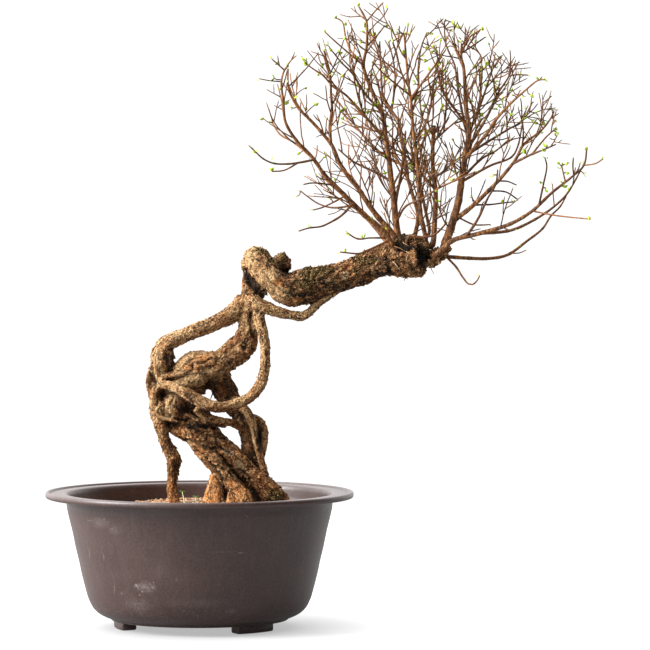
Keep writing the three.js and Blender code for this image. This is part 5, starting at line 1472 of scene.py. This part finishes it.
def line_rings(path, depths, radii):
    """Rings at the points of a path, with depth and radius changing evenly along it."""
    lengths = [0.0]
    for here, there in zip(path, path[1:]):
        lengths.append(lengths[-1] + math.hypot(there[0] - here[0], there[1] - here[1]))
    rings = []
    for (across, height), length in zip(path, lengths):
        share = length / lengths[-1]
        rings.append(Ring(sighted(across, height, between(depths, share)), between(radii, share)))
    return rings


def nearest_on(lines, across, height):
    """The point of some lines that is seen nearest to a point of the picture."""
    points = [here.centre.lerp(there.centre, j / 6)
              for rings in lines for here, there in zip(rings, rings[1:]) for j in range(7)]
    return min(points, key=lambda point: (point - sighted(across, height, point.y)).length)


def shoot_lines(depths, radii, path, branches):
    """A shoot's main stem and its branches, each as rings."""
    main = line_rings(path, depths, radii)
    main.insert(0, Ring(sunken_foot(main[0].centre), main[0].radius))
    lines = [main]
    for end_depth, branch_radii, branch_path in branches:
        root = nearest_on(lines, *branch_path[0])
        rings = line_rings(branch_path, (root.y, end_depth), branch_radii)
        rings[0].centre = root.copy()
        lines.append(rings)
    return lines


def gap_between(a, b, c, d):
    """Shortest distance between two straight pieces of wood."""
    ab, cd, ac = b - a, d - c, a - c
    abab, cdcd, abcd = ab.dot(ab), cd.dot(cd), ab.dot(cd)
    abac, cdac = ab.dot(ac), cd.dot(ac)
    denominator = abab * cdcd - abcd * abcd
    s = clamped((abcd * cdac - abac * cdcd) / denominator) if denominator > 1e-9 else 0
    t = clamped((abcd * s + cdac) / cdcd)
    s = clamped((abcd * t - abac) / abab)
    return (a + ab * s - c - cd * t).length


def segments_of(name, lines):
    """Straight pieces of wood: whose they are, their two ends and their radius."""
    return [(name, here.centre, there.centre, max(here.radius, there.radius))
            for rings in lines for here, there in zip(rings, rings[1:])]


def has_room(segments, name, start, end):
    """Whether a straight piece keeps clear of every other node's wood."""
    return all(owner == name or gap_between(start, end, a, b) > radius + GROWTH_CLEARANCE
               for owner, a, b, radius in segments)


def side_growth(rings, draw):
    """Where twigs and leaves stand along one line, turn by turn to the two sides of the wood."""
    growth = []
    turn = draw() * math.pi
    travelled = 0.0
    place = GROWTH_START
    number = 0
    for i, (start, end) in enumerate(zip(rings, rings[1:])):
        length = (end.centre - start.centre).length
        along = (end.centre - start.centre).normalized()
        side = Vector((0, 1, 0)).cross(along).normalized()
        other = along.cross(side)
        while place < travelled + length:
            angle = turn + number * math.pi + (draw() - 0.5) * 1.8
            kind, size = draw(), draw()
            spread = 0.55 + 0.5 * draw()
            outward = side * math.cos(angle) + other * math.sin(angle)
            share = (place - travelled) / length
            straight = start.centre + along * (place - travelled)
            foot = point_on([ring.centre for ring in rings], i + share)
            direction = along * math.cos(spread) + outward * math.sin(spread)
            growth.append((straight, foot, direction, kind, size))
            place += GROWTH_STEP * (0.7 + 0.6 * draw())
            number += 1
        travelled += length
    return growth


class Foliage:
    """Collects the wood and the leaves of one shoot."""

    def __init__(self):
        self.shape = bmesh.new()
        self.girths = []
        self.tints = []
        self.leaves = []
        self.buds = []

    def stem(self, points, radii, sides, step, tint, knots=0.0):
        rings = directed(limb_rings(points, radii, step))
        for ring in rings[1:]:
            ring.radius *= 1 + knots * max(0, math.sin(ring.along * 0.42 + tint * 9)) ** 3
        made = add_tube(self.shape, rings, sides)
        for ring in rings:
            self.girths += [ring.radius / GIRTH_UNIT] * sides
        self.girths += [radii[0] / GIRTH_UNIT, radii[-1] / GIRTH_UNIT]
        self.tints += [tint] * made

    def leaf(self, foot, direction, across, length, tint, curl):
        facing = across.cross(direction).normalized()
        self.leaves.append((foot, across * length, direction * length, facing * length * curl, tint))

    def bud(self, foot, direction, length, tint):
        across = direction.cross(Vector((0.3, 0.7, 0.5))).normalized()
        facing = across.cross(direction)
        self.buds.append((foot, across * length, direction * length, facing * length, tint))


def in_crown(point):
    """Whether a point is seen within the crown's outline."""
    across, height = seen_at(*point)
    inside = False
    for (x0, z0), (x1, z1) in zip(CROWN_OUTLINE, CROWN_OUTLINE[1:] + CROWN_OUTLINE[:1]):
        if (z0 > height) != (z1 > height) and across < x0 + (height - z0) / (z1 - z0) * (x1 - x0):
            inside = not inside
    return inside


def leafiness(point):
    """How readily leaves open at a point: often at the top of the crown, seldom low down."""
    return between((0.1, 0.6), clamped((point.z - LEAVES_BEGIN_AT) / 130))


def room_to_branch(point):
    """How densely fine wood grows at a point: thick in the middle of the fan, thin at its sides."""
    lean = math.degrees(math.atan2(point.x - FAN_HEART[0], point.z - FAN_HEART[1]))
    full = FAN_FULL_RIGHT if lean > 0 else FAN_FULL_LEFT
    thinning = between((1.0, 0.06), clamped((abs(lean) - full) / FAN_FADE))
    top_share = 0.25 if lean > 15 else 0.55
    return thinning * between((1.0, top_share), clamped((point.z - CROWN_THINS_AT) / 80))


def spray(foliage, foot, direction, draw, size, number):
    """A cluster of opening leaves round a point, kept below the top of the crown."""
    size = max(min(size, (CROWN_TOP - foot.z) / 1.3), 1)
    lean = direction.cross(Vector((0.37, 0.61, 0.7))).normalized()
    turn = draw() * math.tau
    for _ in range(number):
        turn += SPIRAL_TURN + 0.8 * draw()
        spread = 0.35 + 0.8 * draw()
        outward = Matrix.Rotation(turn, 3, direction) @ lean
        way = (direction * math.cos(spread) + outward * math.sin(spread)).normalized()
        across = way.cross(outward + Vector((0.2, -0.5, 0.3)) * draw()).normalized()
        foliage.leaf(foot, way, across, size * (0.65 + 0.6 * draw()), 0.08 + 0.9 * draw(),
                     0.7 + 0.9 * draw())


def fine_twig(foliage, foot, direction, length, radius, draw, depth=0):
    """A thin twig that bends a little from bud to bud, with leaves and smaller twigs of its own."""
    parts = max(2, int(length / BUD_SPACING + 0.5))
    points = [foot.copy()]
    way = direction.copy()
    for _ in range(parts):
        fan = (points[-1] - sighted(*FAN_HEART, 0)).normalized()
        way = (way + Vector((draw() - 0.5, draw() - 0.5, draw() - 0.42)) * 0.4 + fan * 0.03).normalized()
        points.append(points[-1] + way * (length / parts))
    while len(points) > 2 and not in_crown(points[-1]):
        points.pop()
    if not in_crown(points[-1]):
        return
    parts = len(points) - 1
    end = 0.48 if depth else 0.58
    radii = [radius + (end - radius) * i / parts for i in range(parts + 1)]
    foliage.stem(points, radii, 4 if radius < 0.7 else 5, BUD_SPACING, draw())
    for i in range(1, parts):
        chance = draw()
        outward = way.cross(Vector((draw() - 0.5, draw() - 0.5, draw() - 0.5))).normalized()
        if depth < 2 and chance < 0.4 and length > 14:
            branch = (way + outward * (0.5 + 0.6 * draw())).normalized()
            fine_twig(foliage, points[i], branch, length * (0.4 + 0.4 * draw()), radius * 0.82, draw,
                      depth + 1)
        elif chance < 0.8:
            foliage.bud(points[i], (way + outward).normalized(), 1.3 + 0.8 * draw(), 0.0)
        if draw() < leafiness(points[i]) * 0.03:
            spray(foliage, points[i], (way + outward).normalized(), draw, 3.2 + 1.8 * draw(), 1)
    if draw() < leafiness(points[-1]) * 0.16:
        spray(foliage, points[-1], way, draw, 3 + 1.6 * draw(), 1)
    else:
        foliage.bud(points[-1], way, 1.5 + 0.9 * draw(), 0.0)


def grow_shoot(name, lines, segments, draw, fine):
    """One shoot: the stems and side growth of its solid, and finer twigs between them."""
    foliage = Foliage()
    for number, rings in enumerate(lines):
        points = [ring.centre for ring in rings]
        radii = [ring.radius for ring in rings]
        sides = 10 if radii[0] > 2 else 8 if radii[0] > 1.2 else 6
        tip = points[-1]
        foliage.stem(points, radii, sides, 3.5, fine(), 0.14)
        for straight, foot, direction, kind, size in side_growth(rings, draw):
            if kind < TWIG_CHANCE:
                reach = between(TWIG_LENGTH, size)
                bend = foot + direction * (reach * 0.55)
                end = bend + direction * (reach * 0.4)
                end.z += reach * 0.14
                if has_room(segments, name, straight, end + straight - foot):
                    foliage.stem([foot, bend, end], [TWIG_RADIUS, 0.68, 0.55], 5, 5, fine())
                    spray(foliage, end, direction, fine, 3.4, 1)
            elif kind < LEAF_CHANCE:
                if has_room(segments, name, straight, straight + direction * LEAF_LENGTH[1]):
                    if fine() < leafiness(foot):
                        spray(foliage, foot, direction, fine, between(LEAF_LENGTH, size) * 0.6, 1)
                    else:
                        foliage.bud(foot, direction, 1.6, 0.0)
        along = (tip - points[-2]).normalized()
        if radii[-1] < 1.5:
            spray(foliage, tip, along, fine, 3.2, 1 + int(fine() * 2.5 * leafiness(tip)))
        add_fine_growth(foliage, rings, number, fine)
    return foliage


def add_fine_growth(foliage, rings, number, fine):
    """Fine twigs along one line, sparse at the foot and dense towards the tips."""
    points = [ring.centre for ring in rings]
    travelled = 0.0
    place = FIRST_ON_STEMS if number == 0 else FIRST_ON_BRANCHES
    bare = BARE_ON_STEMS if number == 0 else BARE_ON_BRANCHES
    turn = fine() * math.tau
    for i, (here, there) in enumerate(zip(points, points[1:])):
        length = (there - here).length
        along = (there - here).normalized()
        lean = along.cross(Vector((0.2, 0.9, 0.1))).normalized()
        while place < travelled + length:
            turn += SPIRAL_TURN + 0.9 * (fine() - 0.5)
            outward = Matrix.Rotation(turn, 3, along) @ lean
            foot = point_on(points, i + (place - travelled) / length)
            bare_to, least = BARE_AT_LEFT if foot.x < BARE_LEFT_OF else bare
            room = room_to_branch(foot) * clamped((foot.z - bare_to) / 60, least)
            spread = 0.4 + 0.5 * fine()
            way = along * math.cos(spread) + outward * math.sin(spread) + Vector((0, 0, 0.15))
            reach = between(FINE_LENGTH, fine()) * (LOW_TWIG_STRETCH if foot.z < LOW_TWIG_TOP else 1)
            if fine() < room and way.z > 0.25:
                fine_twig(foliage, foot, way.normalized(), reach, 0.7 + 0.35 * fine() * room, fine)
            place += between(FINE_STEP, fine())
        travelled += length


def leaf_blade():
    """One young leaf, cupped along its middle, as points and faces of unit length."""
    bpy.ops.mesh.primitive_grid_add(x_subdivisions=2, y_subdivisions=5, size=1)
    blade = bpy.context.object
    widths = (0.04, 0.22, 0.31, 0.29, 0.2, 0.02)
    for vertex in blade.data.vertices:
        row = int(round((vertex.co.y + 0.5) * 5))
        side = round(vertex.co.x * 2)
        tooth = 0.03 if row % 2 else -0.01
        x = side * (widths[row] + (tooth if 0 < row < 5 else 0))
        y = row / 5
        vertex.co = (x, y, 0.3 * abs(x) - 0.22 * y * y + 0.03 * math.sin(row * 2.1))
    shape_with(blade, "SOLIDIFY", thickness=0.05, offset=0)
    return blade


def bud_scale():
    """One small pointed bud of unit length."""
    bpy.ops.mesh.primitive_ico_sphere_add(subdivisions=1, radius=0.5)
    bud = bpy.context.object
    for vertex in bud.data.vertices:
        height = vertex.co.z + 0.5
        pinch = 1 - 0.35 * height
        vertex.co = (vertex.co.x * 0.62 * pinch, height, vertex.co.y * 0.62 * pinch)
    return bud


def copies(name, pattern, frames):
    """Copies of a pattern mesh, each with its own place, size, turn and tint, as one piece."""
    mesh = pattern.data
    corners = np.array([vertex.co for vertex in mesh.vertices])
    faces = [tuple(face.vertices) for face in mesh.polygons]
    points, polygons, tints = [], [], []
    for foot, across, direction, facing, tint in frames:
        basis = np.array([across, direction, facing])
        base = len(points) * len(corners)
        points.append(corners @ basis + np.array(foot))
        polygons += [tuple(base + index for index in face) for face in faces]
        tints += [tint] * len(corners)
    made = bpy.data.meshes.new(name)
    made.from_pydata(np.concatenate(points).tolist(), [], polygons)
    tinted(made, tints)
    piece = bpy.data.objects.new(name, made)
    bpy.context.collection.objects.link(piece)
    return piece


def tinted(mesh, values, name="tint"):
    """Stores one value a vertex, as an attribute that a finish reads."""
    layer = mesh.attributes.new(name, "FLOAT", "POINT")
    layer.data.foreach_set("value", np.array(values, np.float32))


def cluster_leaves(lines_of):
    """Which clusters of leaves belong to which shoot, and where on its wood each one springs."""
    found = {name: [] for name in lines_of}
    for across, height, *leaves in LEAF_CLUSTERS:
        number = leaves[0] if leaves else USUAL_LEAVES
        choices = []
        for name, lines in lines_of.items():
            foot = nearest_on(lines, across, height)
            place = sighted(across, height, foot.y)
            choices.append(((foot - place).length, name, (foot, place, number)))
        _, name, cluster = min(choices, key=lambda choice: choice[0])
        found[name].append(cluster)
    return found


def grow_clusters(foliage, clusters, draw):
    """A short twig to each cluster of leaves that stands off the wood, and its leaves."""
    for foot, place, number in clusters:
        apart = (place - foot).length > CLUSTER_REACH
        way = (place - foot).normalized() if apart else Vector((0.1, 0, 0.9))
        if apart:
            bend = foot.lerp(place, 0.5) + Vector((draw() - 0.5, draw() - 0.5, draw() - 0.5)) * 3
            foliage.stem([foot, bend, place], [0.7, 0.62, 0.52], 5, 6, draw())
        spray(foliage, place - way * 0.8, way, draw, 3.7 + 1.3 * draw(), number)


def shoots():
    bark = young_bark_finish()
    green = leaf_finish()
    blade = leaf_blade()
    bud = bud_scale()
    lines_of = {name: shoot_lines(depths, radii, path, branches)
                for name, depths, radii, path, branches in SHOOTS}
    segments = segments_of("trunk_and_roots", [rows_rings(rows, 14) for _, rows in LIMBS.values()])
    for name, lines in lines_of.items():
        segments += segments_of(name, lines)
    draw = seeded_draw(GROWTH_SEED)
    fine = seeded_draw(FINE_SEED)
    clusters = cluster_leaves(lines_of)
    for name, lines in lines_of.items():
        foliage = grow_shoot(name, lines, segments, draw, fine)
        grow_clusters(foliage, clusters[name], fine)
        wood = piece_from(name + "_stems", foliage.shape)
        tinted(wood.data, foliage.girths, "girth")
        tinted(wood.data, foliage.tints)
        smooth(wood)
        settle(wood, bark, "shoots", name)
        for part, pattern, frames in (("leaves", blade, foliage.leaves), ("buds", bud, foliage.buds)):
            if frames:
                growth = copies(f"{name}_{part}", pattern, frames)
                smooth(growth)
                settle(growth, green, "shoots")
    for pattern in (blade, bud):
        bpy.data.objects.remove(pattern)


# Pot


def eased(corners, steps=3):
    """An outline of (radius, height, easing) corners with each corner rounded by its easing."""
    outline = []
    last = len(corners) - 1
    for i, (radius, level, easing) in enumerate(corners):
        here = Vector((radius, level))
        if easing == 0 or i in (0, last):
            outline.append((radius, level))
            continue
        before = Vector(corners[i - 1][:2]) - here
        after = Vector(corners[i + 1][:2]) - here
        start = here + before.normalized() * min(easing, before.length * 0.45)
        end = here + after.normalized() * min(easing, after.length * 0.45)
        for j in range(steps + 1):
            t = j / steps
            point = start * (1 - t) ** 2 + here * 2 * t * (1 - t) + end * t ** 2
            outline.append((point.x, point.y))
    return outline


def face_outward():
    """Turns every face of the piece being edited outward, and ends the editing."""
    bpy.ops.mesh.select_all(action="SELECT")
    bpy.ops.mesh.normals_make_consistent(inside=False)
    bpy.ops.object.mode_set(mode="OBJECT")


def turned(name, outline, sides):
    """A round piece, drawn ring by ring from a circle along its outline."""
    radius, level = outline[0]
    bpy.ops.mesh.primitive_circle_add(vertices=sides, radius=radius, location=(0, 0, level))
    piece = bpy.context.object
    piece.name = name
    bpy.ops.object.transform_apply(location=True)
    bpy.ops.object.mode_set(mode="EDIT")
    bpy.ops.mesh.select_all(action="SELECT")
    bpy.ops.mesh.edge_face_add()
    bpy.ops.mesh.select_mode(type="EDGE")
    for (r0, z0), (r1, z1) in zip(outline, outline[1:]):
        bpy.ops.mesh.extrude_edges_move(TRANSFORM_OT_translate={"value": (0, 0, z1 - z0)})
        bpy.ops.transform.resize(value=(r1 / r0, r1 / r0, 1), center_override=(0, 0, z1))
    bpy.ops.mesh.edge_face_add()
    face_outward()
    return piece


def pot_foot(azimuth):
    """One low foot: an upright oblong swung round part of the base."""
    inner, outer = FOOT_RING
    bpy.ops.mesh.primitive_plane_add(size=1, location=((inner + outer) / 2, 0, FOOT_HEIGHT / 2),
                                     rotation=(math.pi / 2, 0, 0))
    foot = bpy.context.object
    foot.scale = (outer - inner, FOOT_HEIGHT, 1)
    bpy.ops.object.transform_apply(location=True, rotation=True, scale=True)
    bpy.ops.object.mode_set(mode="EDIT")
    bpy.ops.mesh.select_all(action="SELECT")
    bpy.ops.mesh.spin(steps=14, angle=math.radians(FOOT_ARC), center=(0, 0, 0), axis=(0, 0, 1))
    face_outward()
    middle = sum((vertex.co for vertex in foot.data.vertices), Vector())
    turn = math.radians(azimuth) - math.atan2(middle.y, middle.x)
    foot.data.transform(Matrix.Rotation(turn, 4, "Z"))
    shape_with(foot, "BEVEL", width=2, segments=3, limit_method="ANGLE")
    return foot


def pot():
    """The turned shell with its drain holes, and the feet under it."""
    shell = turned("pot_shell", eased(POT_PROFILE), POT_SIDES)
    bpy.ops.mesh.primitive_cylinder_add(vertices=24, radius=DRAIN_RADIUS, depth=12,
                                        location=(DRAIN_CIRCLE, 0, 10))
    drill = bpy.context.object
    bpy.ops.object.transform_apply(location=True)
    for azimuth in DRAIN_AZIMUTHS:
        bore = drill.copy()
        bore.data = drill.data.copy()
        bore.data.transform(Matrix.Rotation(math.radians(azimuth), 4, "Z"))
        bpy.context.collection.objects.link(bore)
        shape_with(shell, "BOOLEAN", object=bore, operation="DIFFERENCE", solver="EXACT")
        bpy.data.objects.remove(bore)
    bpy.data.objects.remove(drill)
    join_to(shell, [pot_foot(azimuth) for azimuth in FOOT_AZIMUTHS])
    smooth(shell, POT_EDGE_ANGLE)
    settle(shell, pot_finish(), "pot", "pot")


# Soil


def soil_top(x, y):
    """Height of the soil: mounded round the roots, with a dip at the left."""
    from_mound = math.hypot(x - MOUND_CENTRE[0], y - MOUND_CENTRE[1]) / MOUND_SPREAD
    dip = clamped((-x - 30) / 50)
    return SOIL_LEVEL + SOIL_MOUND * math.exp(-from_mound * from_mound) - SOIL_DIP * dip


def soil_bed():
    radius = MOUTH_RADIUS - BED_GAP
    outline = BED_PROFILE + [(radius, SOIL_LEVEL)]
    while radius > 2 * BED_STEP:
        radius -= BED_STEP
        outline.append((radius, SOIL_LEVEL))
    bed = turned("soil_bed", outline, BED_SIDES)
    for vertex in bed.data.vertices:
        if vertex.co.z > SOIL_LEVEL - 1:
            ripple = noise.noise(vertex.co / 5) * 0.7 + noise.noise(vertex.co / 2.2) * 0.4
            vertex.co.z = soil_top(vertex.co.x, vertex.co.y) + ripple - 0.6
    smooth(bed, BED_EDGE_ANGLE)
    settle(bed, soil_finish(), "soil", "soil")


def grain_patterns():
    """A few knobbly grains of unit radius."""
    patterns = []
    for number in range(GRAIN_KINDS):
        bpy.ops.mesh.primitive_ico_sphere_add(subdivisions=1, radius=1)
        grain = bpy.context.object
        for vertex in grain.data.vertices:
            swell = 1 + 0.34 * noise.noise(vertex.co * 1.3 + Vector((number * 9.1, 3, 5)))
            vertex.co = vertex.co * swell
            vertex.co.z *= 0.78
        patterns.append(grain)
    return patterns


def soil_grains():
    """Loose grains over the whole bed, in a jittered honeycomb, each lifted or sunk a little at random."""
    patterns = grain_patterns()
    feet = [ring.centre.to_2d().to_tuple() + (ring.radius,)
            for rings in wood_rings(6).values() for ring in rings if ring.centre.z < ROOT_FEET_TOP]
    draw = seeded_draw(GRAIN_SEED)
    frames = [[] for _ in patterns]
    reach = MOUTH_RADIUS - GRAIN_GAP
    rows = int(2 * reach / (GRAIN_SPACING * GRAIN_ROW))
    for row in range(rows):
        for column in range(int(2 * reach / GRAIN_SPACING) + 1):
            x = -reach + (column + 0.5 * (row % 2)) * GRAIN_SPACING + (draw() - 0.5) * 2
            y = -reach + row * GRAIN_SPACING * GRAIN_ROW + (draw() - 0.5) * 2
            size = 0.9 + 1.25 * draw() ** 2
            lift = draw()
            turn = Matrix.Rotation(draw() * math.tau, 3, "Z") @ Matrix.Rotation(draw() * 2, 3, "X")
            tint = draw()
            if math.hypot(x, y) > reach - size:
                continue
            if any(math.hypot(x - fx, y - fy) < fr - 1.2 for fx, fy, fr in feet):
                continue
            foot = Vector((x, y, soil_top(x, y) + (lift - 0.35) * 1.3))
            axes = [turn @ Vector(axis) * size for axis in ((1, 0, 0), (0, 1, 0), (0, 0, 1))]
            frames[(row * 7 + column * 3) % len(patterns)].append((foot, *axes, tint))
    made = [copies(f"soil_grains_{number}", pattern, places)
            for number, (pattern, places) in enumerate(zip(patterns, frames))]
    for pattern in patterns:
        bpy.data.objects.remove(pattern)
    join_to(made[0], made[1:])
    made[0].name = "soil_grains"
    settle(made[0], grain_finish(), "soil")


def seedlings():
    """Each seedling: a bent stem with a pair of seed leaves."""
    finish = seedling_finish()
    blade = leaf_blade()
    for name, (x, y), height, (lean_x, lean_y), leaf in SEEDLINGS:
        level = soil_top(x, y)
        points = [Vector((x + lean_x * share, y + lean_y * share, level + rise))
                  for share, rise in ((0, -SEEDLING_ROOT), (0, 0), (0.2, height * 0.4), (1, height))]
        shape = bmesh.new()
        rings = directed(limb_rings(points, [0.6, 0.6, 0.5, 0.45], 1.5))
        add_tube(shape, rings, 8)
        stem = piece_from(name + "_stem", shape)
        low, high = level - SEEDLING_ROOT, level + height
        tinted(stem.data, [0.62 * (v.co.z - low) / (high - low) for v in stem.data.vertices])
        frames = []
        for turn in (-1, 1):
            direction = Vector((turn * 0.9, -turn * 0.2, 0.42)).normalized()
            across = direction.cross(Vector((0, 0, 1))).normalized()
            facing = across.cross(direction)
            frames.append((points[-1], across * leaf * 1.1, direction * leaf * 0.9, facing * leaf, 0.95))
        pair = copies(name + "_pair", blade, frames)
        join_to(stem, [pair])
        smooth(stem)
        settle(stem, finish, "seedlings", name)
    bpy.data.objects.remove(blade)


# Studio


def tent_light():
    """A white tent, brightest at the left and dim behind the camera, which itself sees white."""
    world = bpy.data.worlds.new("studio")
    bpy.context.scene.world = world
    world.use_nodes = True
    tent = Nodes(world.node_tree)
    direction = tent.node("TexCoord").outputs["Generated"]
    strength = TENT_REST
    for side, edge, brightness in TENT_SIDES:
        toward = tent.node("VectorMath", {0: direction, 1: side}, operation="DOT_PRODUCT")
        lobe = tent.node("MapRange", {
            "Value": toward.outputs["Value"], "From Min": edge, "From Max": 1.0, "To Max": brightness,
        }, interpolation_type="SMOOTHERSTEP")
        strength = tent.plus(strength, lobe.outputs["Result"])
    lit = tent.tree.nodes["Background"]
    tent.feed(lit.inputs["Color"], WHITE)
    tent.feed(lit.inputs["Strength"], strength)
    white = tent.node("Background", {"Color": WHITE, "Strength": TENT_SEEN})
    seen = tent.node("LightPath").outputs["Is Camera Ray"]
    either = tent.node("MixShader", {
        "Fac": seen, 1: lit.outputs["Background"], 2: white.outputs["Background"],
    })
    tent.feed(tent.tree.nodes["World Output"].inputs["Surface"], either.outputs["Shader"])


def aimed(name, data, place, target):
    """Hangs a lamp or a camera in the scene, facing its target, and gives its distance too."""
    made = bpy.data.objects.new(name, data)
    made.location = place
    aim = Vector(target) - made.location
    made.rotation_mode = "QUATERNION"
    made.rotation_quaternion = aim.to_track_quat("-Z", "Y")
    bpy.context.collection.objects.link(made)
    return made, aim.length


def studio():
    """Floor, light and camera."""
    bpy.ops.mesh.primitive_circle_add(vertices=96, radius=FLOOR_RADIUS, fill_type="NGON",
                                      location=(0, 0, -FLOOR_DROP))
    floor = bpy.context.object
    floor.name = "pale_floor"
    floor.data.materials.append(floor_finish())
    tent_light()
    light = bpy.data.lights.new("key", "AREA")
    light.shape = "SQUARE"
    light.size = KEY_SIZE
    light.energy = KEY_POWER
    aimed("key", light, KEY_PLACE, KEY_TARGET)
    camera = bpy.data.cameras.new("front")
    eye, distance = aimed("front", camera,
                          (AXIS_X + EYE_SIDE * MM, -EYE_DISTANCE * MM, EYE_HEIGHT * MM),
                          (AXIS_X + AIM[0] * MM, 0, AIM[1] * MM))
    camera.sensor_width = SENSOR
    camera.lens = SENSOR * distance / (PICTURE_WIDTH * MM)
    camera.clip_end = 60
    bpy.context.scene.camera = eye
    bpy.context.scene.view_settings.view_transform = "Standard"


pot()
soil_bed()
soil_grains()
trunk_and_roots()
shoots()
seedlings()
studio()
